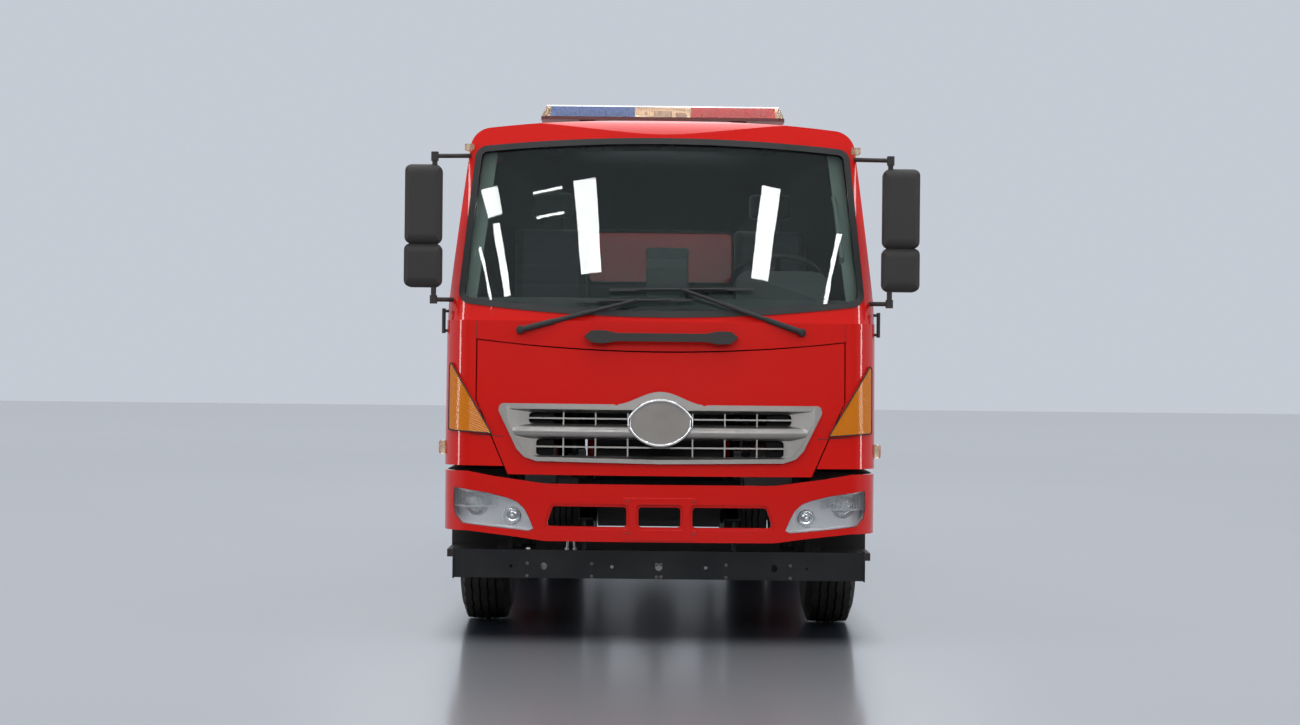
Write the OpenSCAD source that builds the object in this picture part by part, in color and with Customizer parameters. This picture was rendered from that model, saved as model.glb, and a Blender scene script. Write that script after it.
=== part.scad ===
// Airport fire truck: a two-axle forward-control chassis with a tilting day cab, a locker body
// and a roof monitor. Millimetres, +Z up, the truck's front faces -Y, +X is the driver's side.
// Every module draws in stations: x across, s behind the bumper's front, z above the ground.

/* [Overall layout] */
// Bumper front to front axle
front_overhang = 1260; // [1200:10:1350]
// Front axle to rear axle
wheelbase = 4300; // [4200:10:4600]
// Rear axle to the end of the body
rear_overhang = 1900; // [1800:10:2100]
// Width over the locker body
body_w = 2320; // [2280:10:2400]
// Height of the body's side walls above the ground
body_top_z = 2700; // [2600:10:2760]
// Gap between the cab's back wall and the body
cab_body_gap = 110; // [80:5:160]

/* [Wheels] */
// Outer diameter of every tyre
tyre_d = 1054; // [1030:2:1070]
// Widest part of a tyre's section
tyre_w = 278; // [270:2:286]
// Width of the tread at its shoulders
tread_w = 210; // [200:2:220]
// Diameter where the tyre sits on its rim
bead_d = 508; // [500:1:514]
// Distance between the front tyres' middles
front_track = 1936; // [1920:2:1960]
// Distance between the middles of the rear twin sets
rear_track = 1690; // [1680:2:1710]
// Distance between the middles of two twin tyres
twin_spacing = 314; // [310:1:324]
// Rim middle to the wheel's bolting face
wheel_offset = 150; // [146:1:155]
// Bolt circle of the ten wheel studs
stud_pcd = 335; // [330:1:340]

/* [Steering] */
// Distance between the kingpins
kingpin_track = 1640; // [1630:2:1650]
// Kingpin diameter
kingpin_d = 50; // [44:1:56]
// Height of the front axle beam's section
axle_beam_h = 90; // [80:2:100]
// Length of the steering arms behind the kingpins
steer_arm_l = 230; // [210:5:250]

/* [Frame] */
// Width over the side rails
frame_w = 860; // [840:2:880]
// Height of a side rail
rail_h = 220; // [200:5:240]
// Width of a side rail's flanges
rail_flange = 75; // [65:1:85]
// Plate thickness of the side rails
rail_t = 9; // [7:0.5:12]
// Height of the rails' lower flanges above the ground
rail_z = 640; // [630:5:650]

/* [Cab] */
// Width over the cab's doors
cab_w = 2280; // [2240:10:2300]
// Length from the cab's front face to its back wall
cab_l = 1745; // [1700:5:1760]
// Cab's front face behind the bumper's front
cab_front_s = 45; // [40:1:60]
// Height of the cab's lower edge at the front
cab_low_z = 882; // [876:1:890]
// Height of the roof's crown
roof_z = 2796; // [2770:2:2820]
// Height of the waist where the sides begin to lean in
waist_z = 1764; // [1740:2:1790]
// Height of the cowl ledge below the windscreen
cowl_z = 1690; // [1680:1:1700]
// Thickness of the cab's walls and doors
cab_wall = 60; // [50:1:70]
// Radius of the bowed front in plan
bow_r = 6260; // [5800:20:7000]
// Radius of the front corners in plan
corner_r = 170; // [150:5:190]
// Backward lean of the front panel in degrees
face_lean = 3.5; // [3:0.1:4]
// Backward rake of the windscreen in degrees
screen_rake = 20; // [19:0.1:21]
// Inward lean of the sides above the waist in degrees
side_lean = 6.1; // [5.5:0.1:6.5]
// Height of the cab floor's upper side
floor_z = 1240; // [1236:1:1260]
// Radius of the wheel arches in the cab's sides
arch_r = 665; // [660:1:680]

/* [Front lid and grille] */
// Thickness of the front lid
lid_t = 40; // [34:1:46]
// Gap round the lid and the doors
panel_gap = 7; // [6:0.5:9]
// Half the lid's width in its upper part
lid_half_w = 967; // [950:1:980]
// Height of the lid's upper edge at its middle
lid_top_z = 1527; // [1515:1:1540]
// How far the grille stands proud of the lid
grille_t = 18; // [14:1:24]

/* [Bumper] */
// Width of the front bumper
bumper_w = 2276; // [2240:4:2290]
// Wall of the bumper's shell
bumper_t = 24; // [18:1:30]
// Height of the underrun bar's lower edge
underrun_z = 339; // [330:1:350]
// Height of the underrun bar's channel
underrun_h = 148; // [140:1:156]

/* [Roof monitor] */
// Monitor's swivel axis behind the bumper's front
monitor_s = 3350; // [3250:10:3500]
// Height of the monitor's elevation axis above the deck
monitor_axis_h = 385; // [370:5:400]
// Inner diameter of the monitor's pipe
monitor_bore_d = 76; // [70:1:80]
// Length of the monitor's barrel from its elevation axis
monitor_l = 830; // [780:10:880]

/* [Hidden] */

$fa = 4;
$fs = 8;
big_fn = 256; // circles of several metres radius
seat_gap = 0.3; // what is laid on a curved face stays this far off it
far = 4000; // past every piece

overall_l = front_overhang + wheelbase + rear_overhang;
ladder_d = 86; // depth of the rear ladder behind the body
rear_axle_s = front_overhang + wheelbase;
hub_z = tyre_d / 2;
rail_top_z = rail_z + rail_h;

cab_half_w = cab_w / 2;
cab_back_s = cab_front_s + cab_l;
body_front_s = cab_back_s + cab_body_gap;
body_half_w = body_w / 2;
deck_z = body_top_z - 100;
monitor_axis_z = deck_z + monitor_axis_h;
body_low_z = rail_top_z + 160;

// Draws in the truck's own frame, with its origin on the ground under the middle
module on_truck() translate([0, -(overall_l + ladder_d) / 2, 0]) children();

// Both sides of the truck
module both_sides() {
  children();
  mirror([1, 0, 0]) children();
}

// A profile of [s, z] drawn across the truck, over a width centred at x
module across(width, x = 0)
  translate([x, 0, 0]) rotate([90, 0, 90]) linear_extrude(width, center = true) children();

// A profile of [x, z] drawn along the truck between two stations
module along(s0, s1) translate([0, s1, 0]) rotate([90, 0, 0]) linear_extrude(s1 - s0) children();

// A block between two corners
module block(low, high) translate(low) cube(high - low);

// A round bar between two points
module rod(p, q, r) {
  d = q - p;
  flat = norm([d.x, d.y]);
  translate(p) rotate([0, atan2(flat, d.z), atan2(d.y, d.x)]) cylinder(h = norm(d), r = r);
}

// A round pin along x about a centre
module cross_pin(c, length, r)
  translate(c) rotate([0, 90, 0]) cylinder(h = length, r = r, center = true);

// A rectangle with round corners, centred
module round_rect(w, h, r) {
  square([w - 2 * r, h], center = true);
  square([w, h - 2 * r], center = true);
  for (x = [-1, 1], y = [-1, 1]) translate([x * (w / 2 - r), y * (h / 2 - r)]) circle(r);
}

// Cab form
// The cab is one bowed plan drawn up two leaning axes, trimmed by its front and side views.
// inset moves every face of the form inwards, so that walls, panels and linings follow it.
corner_over = 3; // the corner arcs would reach this far past the sides, so they meet them at an edge
plan_half_w = cab_half_w + corner_over;
corner_c = [plan_half_w - corner_r, bow_r - sqrt(pow(bow_r - corner_r, 2) - pow(plan_half_w - corner_r, 2))];

module bowed_plan(inset) {
  reach = 1.2;
  edge = reach * (corner_c - [0, bow_r]) + [0, bow_r];
  intersection() {
    translate([0, bow_r]) circle(bow_r - inset, $fn = big_fn);
    polygon([[0, bow_r], [edge.x, edge.y], [-edge.x, edge.y]]);
  }
  for (x = [-1, 1]) translate([x * corner_c.x, corner_c.y]) circle(corner_r - inset, $fn = 96);
  side_x = plan_half_w - inset;
  polygon([[corner_c.x, corner_c.y], [side_x, corner_c.y], [side_x, far], [-side_x, far],
    [-side_x, corner_c.y], [-corner_c.x, corner_c.y]]);
}

// The plan drawn up an axis that leans back from a base line
module leaning_block(inset, s, z, lean)
  translate([0, s, z]) rotate([-lean, 0, 0]) translate([0, 0, -1400]) linear_extrude(4400) bowed_plan(inset);

screen_base_s = 118; // windscreen's foot on the cowl ledge
roof_front_r = 190;
roof_rear_r = 90;
crown_r = 8950;
roof_side_r = 120;

// Front view: upright sides, sides leaning in above the waist, and a crowned roof
lean_dir = [-sin(side_lean), cos(side_lean)];
lean_out = [cos(side_lean), sin(side_lean)];
crown_o = [0, roof_z - crown_r];
roof_line = [cab_half_w, waist_z] - roof_side_r * lean_out - crown_o;
roof_run = -roof_line * lean_dir
  + sqrt(pow(roof_line * lean_dir, 2) - roof_line * roof_line + pow(crown_r - roof_side_r, 2));
roof_c = [cab_half_w, waist_z] - roof_side_r * lean_out + roof_run * lean_dir;

roof_edge_a = atan2(roof_c.x, roof_c.y - crown_o.y);
crown_steps = 10;
roof_corner_steps = 14;

function arc_point(c, r, a) = c + r * [sin(a), cos(a)];

module front_view(inset) {
  waist = [cab_half_w - inset, waist_z - inset * sin(side_lean) + inset * tan(side_lean / 2) * cos(side_lean)];
  half = [
    for (k = [0 : crown_steps]) arc_point(crown_o, crown_r - inset, roof_edge_a * k / crown_steps),
    for (k = [1 : roof_corner_steps]) arc_point(roof_c, roof_side_r - inset,
      roof_edge_a + (90 - side_lean - roof_edge_a) * k / roof_corner_steps),
    waist,
    [waist.x, 0]
  ];
  polygon([each half, for (k = [len(half) - 1 : -1 : 1]) [-half[k].x, half[k].y]]);
}

// Side view: the roof rolls down to the windscreen and to the back wall, a little above the crown
roll_z = roof_z + 5;
roof_front_c = [screen_base_s - 4 + (roll_z - roof_front_r - cowl_z) * tan(screen_rake)
  + roof_front_r / cos(screen_rake), roll_z - roof_front_r];

module side_view(inset) {
  back = cab_back_s - inset;
  front_foot = roof_front_c + (roof_front_r - inset) * [-cos(screen_rake), sin(screen_rake)];
  rear_c = [cab_back_s - roof_rear_r, roll_z - roof_rear_r];
  translate(roof_front_c) circle(roof_front_r - inset, $fn = 96);
  translate(rear_c) circle(roof_rear_r - inset, $fn = 96);
  polygon([[-far, 0], [back, 0], [back, rear_c.y], rear_c, [rear_c.x, roll_z - inset],
    [roof_front_c.x, roll_z - inset], roof_front_c, front_foot, [-far, front_foot.y]]);
}

// Below the cowl's ledge the form follows the front panel, and above it the windscreen
module cab_form(inset, low_z = cab_low_z) {
  ledge_z = cowl_z - inset;
  intersection() {
    along(-300, cab_back_s + 300) front_view(inset);
    across(2 * far) side_view(inset);
    union() {
      intersection() {
        leaning_block(inset, cab_front_s, cab_low_z, face_lean);
        block([-far, -far, low_z], [far, far, ledge_z]);
      }
      intersection() {
        leaning_block(inset, screen_base_s, cowl_z, screen_rake);
        block([-far, -far, ledge_z], [far, far, far]);
      }
    }
  }
}

// Points of a shallow arched edge from +half to -half at height z, its middle higher by rise
edge_steps = 12;
function edge_chain(half, z, rise) = [
  for (k = [edge_steps : -1 : -edge_steps]) [half * k / edge_steps, z + rise * (1 - pow(k / edge_steps, 2))]
];

// Cab shell
lid_side_z = 1270; // where the lid's side edges turn inwards
lid_foot_half_w = 770;
lid_corner_z = 1586;
lid_back = lid_t + 6; // pocket behind the lid
bulkhead_t = 35;
lid_sag = lid_corner_z - lid_top_z;
bulkhead_hole = [1120, 1300]; // width and top of the radiator's opening
hole_back_s = 180;
hump_half_w = 430;
hump_z = 1440;
floor_t = 40;
cab_side_low_z = 925;
cab_rear_low_z = 1100;

// Outline of the front lid in the front view, larger by grow
module lid_outline(grow) polygon([
  [lid_foot_half_w + grow, cab_low_z - 60],
  [lid_half_w + grow, lid_side_z],
  each edge_chain(lid_half_w + grow, lid_corner_z + grow, -lid_sag),
  [-lid_half_w - grow, lid_side_z],
  [-lid_foot_half_w - grow, cab_low_z - 60]
]);

// Outline of the windscreen's rubber in the front view, smaller by inset
screen_half = [1085, 1012]; // at its foot and at its head
screen_foot_z = 1786; // at the sides
screen_head_z = 2640;
screen_foot_rise = -74;
screen_head_rise = 50;
screen_corner_r = 70;

module screen_outline(inset) offset(r = screen_corner_r - inset, $fn = 48) offset(delta = -screen_corner_r)
  polygon([
    each edge_chain(screen_half[1], screen_head_z, screen_head_rise),
    each reversed(edge_chain(screen_half[0], screen_foot_z, screen_foot_rise))
  ]);

function reversed(list) = [for (i = [len(list) - 1 : -1 : 0]) list[i]];

// Rear window
rear_window = [900, 340]; // width and height over its rubber
rear_window_z = 2100;

module rear_window_outline(inset)
  translate([0, rear_window_z]) round_rect(rear_window[0] - 2 * inset, rear_window[1] - 2 * inset, 60 - inset);

// Door outline in the side view, smaller by inset
door_front_s = 345;
door_back_s = 1345;
door_low_z = 960;
door_top_z = 2640;
door_arch_gap = 6;

module door_outline(inset) {
  lean = tan(screen_rake - 0.5);
  head_s = door_front_s + (door_top_z - waist_z) * lean;
  difference() {
    polygon([
      [door_front_s + inset, door_low_z + inset],
      [door_back_s - inset, door_low_z + inset],
      [door_back_s - inset, door_top_z - inset],
      [head_s + inset * 0.7, door_top_z - inset],
      [door_front_s + inset, waist_z - inset * 0.2]
    ]);
    translate([front_overhang, hub_z]) circle(arch_r + door_arch_gap + inset, $fn = 180);
  }
}

// Door window in the side view
window_low_z = 1830;
window_frame = 78;

module door_window_outline(inset) {
  lean = tan(screen_rake - 0.5);
  low_s = door_front_s + (window_low_z - waist_z) * lean + window_frame + inset;
  high_z = door_top_z - window_frame - inset;
  high_s = low_s + (high_z - window_low_z) * lean;
  back = door_back_s - window_frame - inset;
  hull() for (p = [[low_s + 34, window_low_z + inset + 34], [back - 34, window_low_z + inset + 34],
      [back - 34, high_z - 34], [high_s + 34, high_z - 34]])
    translate(p) circle(34, $fn = 40);
}

// One side's slice of space, from x out past the cab
module side_slice(side, x = 900) intersection() {
  children();
  block([side > 0 ? x : -far, -far, -far], [side > 0 ? far : -x, far, far]);
}

module cab_shell() color("firebrick") difference() {
  union() {
    difference() {
      cab_form(0);
      // Space inside the walls, and the deeper front behind the lid's pocket
      difference() {
        cab_form(cab_wall, cab_low_z - 50);
        difference() {
          block([-far, -far, -far], [far, 320, lid_corner_z + 40]);
          cab_form(lid_back + bulkhead_t, cab_low_z - 50);
        }
      }
    }
    intersection() {
      cab_form(cab_wall - 1);
      floor_sheet();
    }
    seat_boxes();
    hinge_arms();
  }
  // Pocket of the lid
  difference() {
    along(-200, 320) lid_outline(panel_gap);
    cab_form(lid_back, cab_low_z - 100);
  }
  block([-bulkhead_hole[0] / 2, -100, 0], [bulkhead_hole[0] / 2, hole_back_s, bulkhead_hole[1]]);
  along(0, 900) screen_outline(0);
  along(cab_back_s - 200, cab_back_s + 100) rear_window_outline(0);
  difference() {
    across(2 * far) door_outline(0);
    cab_form(cab_wall, cab_low_z - 50);
  }
  // Wheel arches and the raised edge behind them
  across(2 * far) translate([front_overhang, hub_z]) circle(arch_r, $fn = 180);
  block([-far, front_overhang, 0], [far, far, cab_rear_low_z]);
  // The sides' lower edge stands higher than the front's
  both_sides() block([lid_foot_half_w + 30, -far, 0], [far, far, cab_side_low_z]);
}

// Floor with its raised middle over the engine
module floor_sheet() along(hole_back_s, cab_back_s - 20) difference() {
  union() {
    translate([-far, floor_z - floor_t]) square([2 * far, floor_t]);
    translate([-hump_half_w, floor_z - floor_t]) square([2 * hump_half_w, hump_z - floor_z + floor_t]);
  }
  translate([-hump_half_w + floor_t, floor_z - floor_t - 1])
    square([2 * (hump_half_w - floor_t), hump_z - floor_z + 1]);
}

// Seats
seat_table = [
  // x, cushion width, top of the pedestal
  [640, 480, 1520],
  [0, 420, 1560],
  [-640, 480, 1520]
];
seat_s = 1000;
seat_l = 480;
cushion_t = 110;
back_t = 110;
back_h = 640;

module seat_boxes() for (seat = seat_table) {
  half = seat[1] / 2 - 40;
  foot_z = abs(seat[0]) < hump_half_w ? hump_z - 1 : floor_z - 1;
  block([seat[0] - half, seat_s + 60, foot_z], [seat[0] + half, seat_s + seat_l - 20, seat[2]]);
}

module seats() color("dimgray") for (seat = seat_table) {
  low = seat[2] + seat_gap;
  translate([seat[0], seat_s + seat_l / 2, low]) linear_extrude(cushion_t) round_rect(seat[1], seat_l, 50);
  translate([seat[0], seat_s + seat_l - back_t / 2 + 40, low + cushion_t + seat_gap])
    rotate([-8, 0, 0]) linear_extrude(back_h) round_rect(seat[1] - 20, back_t, 40);
}

// Front lid
module front_lid() color("red") intersection() {
  difference() {
    cab_form(0);
    cab_form(lid_t, cab_low_z - 100);
    along(-200, 320) grille_openings();
  }
  along(-200, 400) lid_outline(0);
  block([-far, -far, 0], [far, 400, far]);
}

// Grille
grille_half = [850, 720]; // half widths at its top and at its foot
grille_z = [950, 1262]; // foot and top
hump_top_z = 1324; // top of the rise over the medallion
medallion_z = 1163;
medallion = [177, 125]; // half width and half height of the oval

module grille_outline() {
  polygon([[-grille_half[1], grille_z[0]], [grille_half[1], grille_z[0]], [grille_half[1] + 40, grille_z[0] + 40],
    [grille_half[0], grille_z[1]], [250, grille_z[1]], [205, hump_top_z], [-205, hump_top_z],
    [-250, grille_z[1]], [-grille_half[0], grille_z[1]], [-grille_half[1] - 40, grille_z[0] + 40]]);
}

grille_slots = [
  // x0, x1, z0, z1: two upper openings and two lower ones
  [190, 690, 1142, 1215],
  [-690, -190, 1142, 1215],
  [98, 645, 992, 1086],
  [-645, -98, 992, 1086]
];
slat_w = 9;
slat_gap = 178;

module grille_openings() for (slot = grille_slots)
  polygon([[slot[0], slot[2]], [slot[1], slot[2]], [slot[1], slot[3]], [slot[0], slot[3]]]);

module grille_slats() for (slot = grille_slots) {
  middle = (slot[2] + slot[3]) / 2;
  translate([slot[0] - 1, middle - slat_w / 2]) square([slot[1] - slot[0] + 2, slat_w]);
  side = sign(slot[0] + slot[1]);
  near = min(abs(slot[0]), abs(slot[1]));
  for (x = [slat_gap : slat_gap : slot[1] - slot[0] - slat_w])
    translate([side * (near + x) - slat_w / 2, slot[2] - 1]) square([slat_w, slot[3] - slot[2] + 2]);
}

// Two flat arcs with blunted ends make the medallion's oval
module oval() intersection() {
  oval_r = (pow(medallion[0], 2) + pow(medallion[1], 2)) / (2 * medallion[1]);
  translate([0, medallion[1] - oval_r]) circle(oval_r, $fn = 180);
  translate([0, oval_r - medallion[1]]) circle(oval_r, $fn = 180);
  square([2 * medallion[0] - 24, 2 * medallion[1]], center = true);
}

module grille() color("silver") {
  intersection() {
    difference() {
      cab_form(-grille_t);
      cab_form(-seat_gap, cab_low_z - 100);
      along(-200, 320) difference() {
        grille_openings();
        grille_slats();
      }
    }
    along(-200, 320) grille_outline();
  }
  // Blank oval medallion on the grille's rise
  intersection() {
    difference() {
      cab_form(-grille_t - 14);
      cab_form(-grille_t + 1, cab_low_z - 100);
    }
    along(-200, 320) translate([0, medallion_z]) oval();
  }
}

// Doors
module door_skin(side, inset_out, inset_in) side_slice(side) difference() {
  cab_form(inset_out);
  cab_form(inset_in, cab_low_z - 100);
}

module door(side) color("red") intersection() {
  door_skin(side, 0, cab_wall);
  across(2 * far) difference() {
    door_outline(panel_gap);
    door_window_outline(0);
  }
}

module door_glass(side) color("lightblue") intersection() {
  door_skin(side, 16, 22);
  across(2 * far) door_window_outline(seat_gap);
}

// Glazing and its rubber
module cab_windows() color("lightblue") {
  intersection() {
    difference() {
      cab_form(6);
      cab_form(13, cab_low_z - 100);
    }
    along(0, 900) screen_outline(seal_w + seat_gap);
  }
  intersection() {
    along(cab_back_s - 30, cab_back_s - 23) rear_window_outline(seal_w * 0.7 + seat_gap);
    block([-far, 1000, 0], [far, far, far]);
  }
}

seal_w = 34;

module window_seals() color("black") {
  intersection() {
    difference() {
      cab_form(-5);
      cab_form(20, cab_low_z - 100);
    }
    along(0, 900) difference() {
      screen_outline(seat_gap);
      screen_outline(seal_w);
    }
  }
  along(cab_back_s - cab_wall, cab_back_s + 5) difference() {
    rear_window_outline(seat_gap);
    rear_window_outline(seal_w * 0.7);
  }
}

// Corner turn lamps, three-cornered glasses on the cab's front corners
module turn_lamps() color("orange") intersection() {
  difference() {
    cab_form(-12);
    cab_form(-seat_gap, cab_low_z - 100);
  }
  block([-far, -far, 0], [far, 300, far]);
  along(-200, 400) both_sides() polygon([[885, 1095], [1118, 1111], [1118, 1450], [1108, 1465]]);
}

// Clear marker lamps high on the windscreen's pillars
module marker_lamps() color("white") both_sides() difference() {
  block([1024, 524, 2618], [1074, 640, 2652]);
  cab_form(-seat_gap);
}

// Dashboard with the driver's instrument hood and a control box
module dashboard() color("dimgray") intersection() {
  union() {
    across(2 * cab_half_w)
      polygon([[130, 1560], [520, 1560], [560, 1640], [560, 1770], [500, 1815], [130, 1815]]);
    block([400, 300, 1800], [880, 480, 1905]);
    block([-80, 300, 1800], [130, 420, 2030]);
  }
  difference() {
    cab_form(cab_wall + 12);
    block([-far, -far, 0], [far, 320 + seat_gap, lid_corner_z + 40 + seat_gap]);
    translate(wheel_c) rotate([-wheel_tilt, 0, 0]) translate([0, 0, -column_l - 10])
      cylinder(h = column_l, r = column_r + seat_gap);
  }
}

// Steering wheel on its column
wheel_c = [630, 640, 1945];
wheel_tilt = 28;
column_r = 34;
column_l = 230;
module steering_wheel() color("black") {
  translate(wheel_c) rotate([-wheel_tilt, 0, 0]) {
    rotate_extrude() translate([232, 0]) circle(15);
    cylinder(h = 40, r = 55, center = true);
    for (a = [30, 150, 270]) rotate([0, 0, a]) translate([40, -14, -9]) cube([185, 28, 14]);
    translate([0, 0, -column_l]) cylinder(h = column_l, r = column_r);
  }
}

// Light bar
light_bar_s = 900;
light_bar_half = 676;
light_bar_d = 230;
light_bar_z = 2817;
light_bar_split = [155, 620]; // clear middle and where the end caps begin
lens_z = light_bar_z + 18;
lens_top_z = 2906;

module light_bar_base() color("maroon") {
  translate([0, light_bar_s, light_bar_z]) linear_extrude(lens_z - light_bar_z - seat_gap)
    round_rect(2 * light_bar_half, light_bar_d, 40);
  difference() {
    for (x = [-420, 420])
      block([x - 45, light_bar_s - 70, roof_z - 40], [x + 45, light_bar_s + 70, light_bar_z + 1]);
    cab_form(-seat_gap);
  }
}

module light_bar_lens(x0, x1) intersection() {
  difference() {
    lens_solid(0);
    lens_solid(5);
  }
  block([x0, 0, 0], [x1, far, far]);
}

module lens_solid(inset) translate([0, light_bar_s, lens_z]) intersection() {
  linear_extrude(lens_top_z - lens_z - inset) round_rect(2 * (light_bar_half - inset), light_bar_d - 2 * inset, 40);
  rotate([90, 0, 90]) linear_extrude(3 * light_bar_half, center = true)
    translate([0, lens_top_z - lens_z - 400]) circle(400 - inset, $fn = 180);
}

module light_bar_blue() color("blue")
  light_bar_lens(-light_bar_split[1], -light_bar_split[0] - seat_gap);
module light_bar_red() color("red")
  light_bar_lens(light_bar_split[0] + seat_gap, light_bar_split[1]);
module light_bar_clear() color("white") {
  light_bar_lens(-light_bar_split[0], light_bar_split[0]);
  light_bar_lens(-far, -light_bar_split[1] - seat_gap);
  light_bar_lens(light_bar_split[1] + seat_gap, far);
}

// Mirrors on their tube frames
mirror_x = 1268;
mirror_s = 250;
mirror_table = [
  // middle height, width, height
  [2303, 196, 424],
  [1979, 200, 234]
];
mirror_depth = 84;
mirror_back_s = mirror_s + mirror_depth / 2;
arm_r = 14;
tube_x = mirror_x - 58;

// A housing's front view, side view and plan, each with its own corner radius
module mirror_housing(m) intersection() {
  along(mirror_s - mirror_depth, mirror_back_s) translate([mirror_x, m[0]]) round_rect(m[1], m[2], 40);
  across(m[1] + 40, mirror_x) translate([mirror_back_s, m[0]]) round_rect(2 * mirror_depth, m[2] + 8, 58);
  translate([mirror_x, mirror_back_s + 4, m[0] - m[2]]) linear_extrude(2 * m[2])
    round_rect(m[1] + 8, 2 * mirror_depth + 16, 50);
}

module mirrors() color("dimgray") both_sides() {
  difference() {
    union() {
      for (m = mirror_table) mirror_housing(m);
      rod([tube_x, mirror_s, 1800], [tube_x, mirror_s, 2560], arm_r);
    }
    for (m = mirror_table) along(mirror_back_s - 12, far)
      translate([mirror_x, m[0]]) round_rect(m[1] - 20, m[2] - 20, 28);
  }
  mirror_arms();
}

// Upper arm over to the roof corner and lower arm to the cab's front corner, each with its clamp
module mirror_arms() difference() {
  union() {
    translate([tube_x, mirror_s, 2534]) cylinder(h = 48, r = 20);
    rod([tube_x, mirror_s, 2560], [1040, 562, 2590], arm_r - 2);
    translate([tube_x, mirror_s, 1776]) cylinder(h = 44, r = 20);
    rod([tube_x, mirror_s, 1798], [1100, 336, 1800], arm_r - 2);
  }
  cab_form(-seat_gap);
}

module mirror_glasses() color("lightgray") both_sides()
  for (m = mirror_table) along(mirror_back_s - 12 + seat_gap, mirror_back_s - 4)
    translate([mirror_x, m[0]]) round_rect(m[1] - 20 - 2 * seat_gap, m[2] - 20 - 2 * seat_gap, 28 - seat_gap);

// Station of the screen's outer face at a height and a place across it
function screen_s(x, z) = screen_base_s + (z - cowl_z) * tan(screen_rake)
  + (bow_r - sqrt(bow_r * bow_r - x * x)) / cos(screen_rake);

// The same on the front panel below the cowl ledge
function face_s(x, z) = cab_front_s + (z - cab_low_z) * tan(face_lean)
  + (bow_r - sqrt(bow_r * bow_r - x * x)) / cos(face_lean);

// Wipers: spindle, arm, and a blade that follows the bowed screen
wiper_table = [
  // spindle x, blade middle x, blade middle z, blade length
  [-740, -140, 1800, 610],
  [740, 105, 1862, 760]
];
spindle_z = 1640;
blade_h = 14;
blade_t = 20;
blade_tilt = 6; // a blade's end stands this much above its middle

module wiper_blades() intersection() {
  difference() {
    cab_form(-blade_t);
    cab_form(-seat_gap);
  }
  along(0, 900) for (w = wiper_table) translate([w[1], w[2]])
    polygon([for (end = [[-1, -1], [1, -1], [1, 1], [-1, 1]])
      [end.x * w[3] / 2, end.x * blade_tilt + end.y * blade_h / 2]]);
}

module wiper_arms() difference() {
  for (w = wiper_table) {
    spindle = [w[0], face_s(w[0], spindle_z) - 26, spindle_z];
    middle = [w[1], screen_s(w[1], w[2]) - blade_t - 14, w[2]];
    translate(spindle) rotate([-90, 0, 0]) cylinder(h = 60, r = 17);
    rod(spindle + [0, 4, 0], middle, 8);
    rod(middle - [0, 4, 0], middle + [0, 20, 0], 10);
  }
  cab_form(-seat_gap);
}

module wipers() color("black") {
  wiper_blades();
  wiper_arms();
}

// Grab bar across the cowl
handle_half = 411;
handle_z = 1608;
module front_handle() color("black") difference() {
  union() {
    handle_s = face_s(handle_half, handle_z) - 46;
    rod([-handle_half, handle_s, handle_z], [handle_half, handle_s, handle_z], 15);
    for (x = [-handle_half, handle_half])
      along(handle_s - 8, handle_s + 80) translate([x, handle_z]) round_rect(40, 66, 12);
  }
  cab_form(-seat_gap);
}

// Frame
module rail_section() {
  difference() {
    square([rail_flange, rail_h]);
    translate([-1, rail_t]) square([rail_flange - rail_t + 1, rail_h - 2 * rail_t]);
  }
}

frame_front_s = 225;
frame_back_s = overall_l - 120;
cross_members = [270, 2200, 3000, 3900, 4800, 6300, frame_back_s - 60];
tow_pin_d = 40;

module frame_rails() color([0.12, 0.12, 0.13]) difference() {
  union() {
    both_sides() translate([frame_w / 2 - rail_flange, 0, rail_z])
      along(frame_front_s, frame_back_s) rail_section();
    for (s = cross_members)
      block([rail_t - 1 - frame_w / 2, s - 40, rail_top_z - 56],
        [frame_w / 2 - rail_t + 1, s + 40, rail_top_z - rail_t]);
    // Jaw of the rear towing coupling
    block([-110, frame_back_s - 30, rail_z + 10], [110, frame_back_s, rail_top_z - 20]);
    for (z = [rail_z + 40, rail_z + 120])
      block([-70, frame_back_s - 10, z], [70, frame_back_s + 90, z + 28]);
    spring_hangers();
    cab_pivots();
  }
  translate([0, frame_back_s + 45, rail_z]) cylinder(h = 200, d = tow_pin_d);
}

// Front axle and springs
front_spring_x = frame_w / 2 - 35; // under the rails
rear_spring_x = frame_w / 2 + 48; // beside the rails
spring_w = 76;
spring_h = 60;
front_spring_half = 640;
rear_spring_half = 700;
spring_rise = 75;
front_seat_z = 500; // axle's spring seat
rear_seat_z = 612;
eye_r = 34;

spring_table = [
  // station, x, half length, seat height
  [front_overhang, front_spring_x, front_spring_half, front_seat_z],
  [rear_axle_s, rear_spring_x, rear_spring_half, rear_seat_z]
];

function spring_r(half) = (half * half + spring_rise * spring_rise) / (2 * spring_rise);

module leaf_springs() color([0.2, 0.2, 0.2]) for (t = spring_table) both_sides() {
  r = spring_r(t[2]);
  across(spring_w, t[1]) intersection() {
    translate([t[0], t[3] + r]) difference() {
      circle(r, $fn = big_fn);
      circle(r - spring_h, $fn = big_fn);
    }
    translate([t[0] - t[2], t[3]]) square([2 * t[2], spring_h + spring_rise]);
  }
}

module spring_hangers() for (t = spring_table) both_sides() for (end = [-1, 1]) {
  s = t[0] + end * (t[2] + seat_gap);
  top = t[3] + spring_rise + spring_h;
  block([frame_w / 2 - rail_flange, s + (end > 0 ? 0 : -60), t[3] + spring_rise - 20],
    [t[1] + spring_w / 2, s + (end > 0 ? 60 : 0), max(top, rail_z + 10)]);
}

beam_z = front_seat_z - axle_beam_h / 2 - 20;
kingpin_x = kingpin_track / 2;

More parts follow.
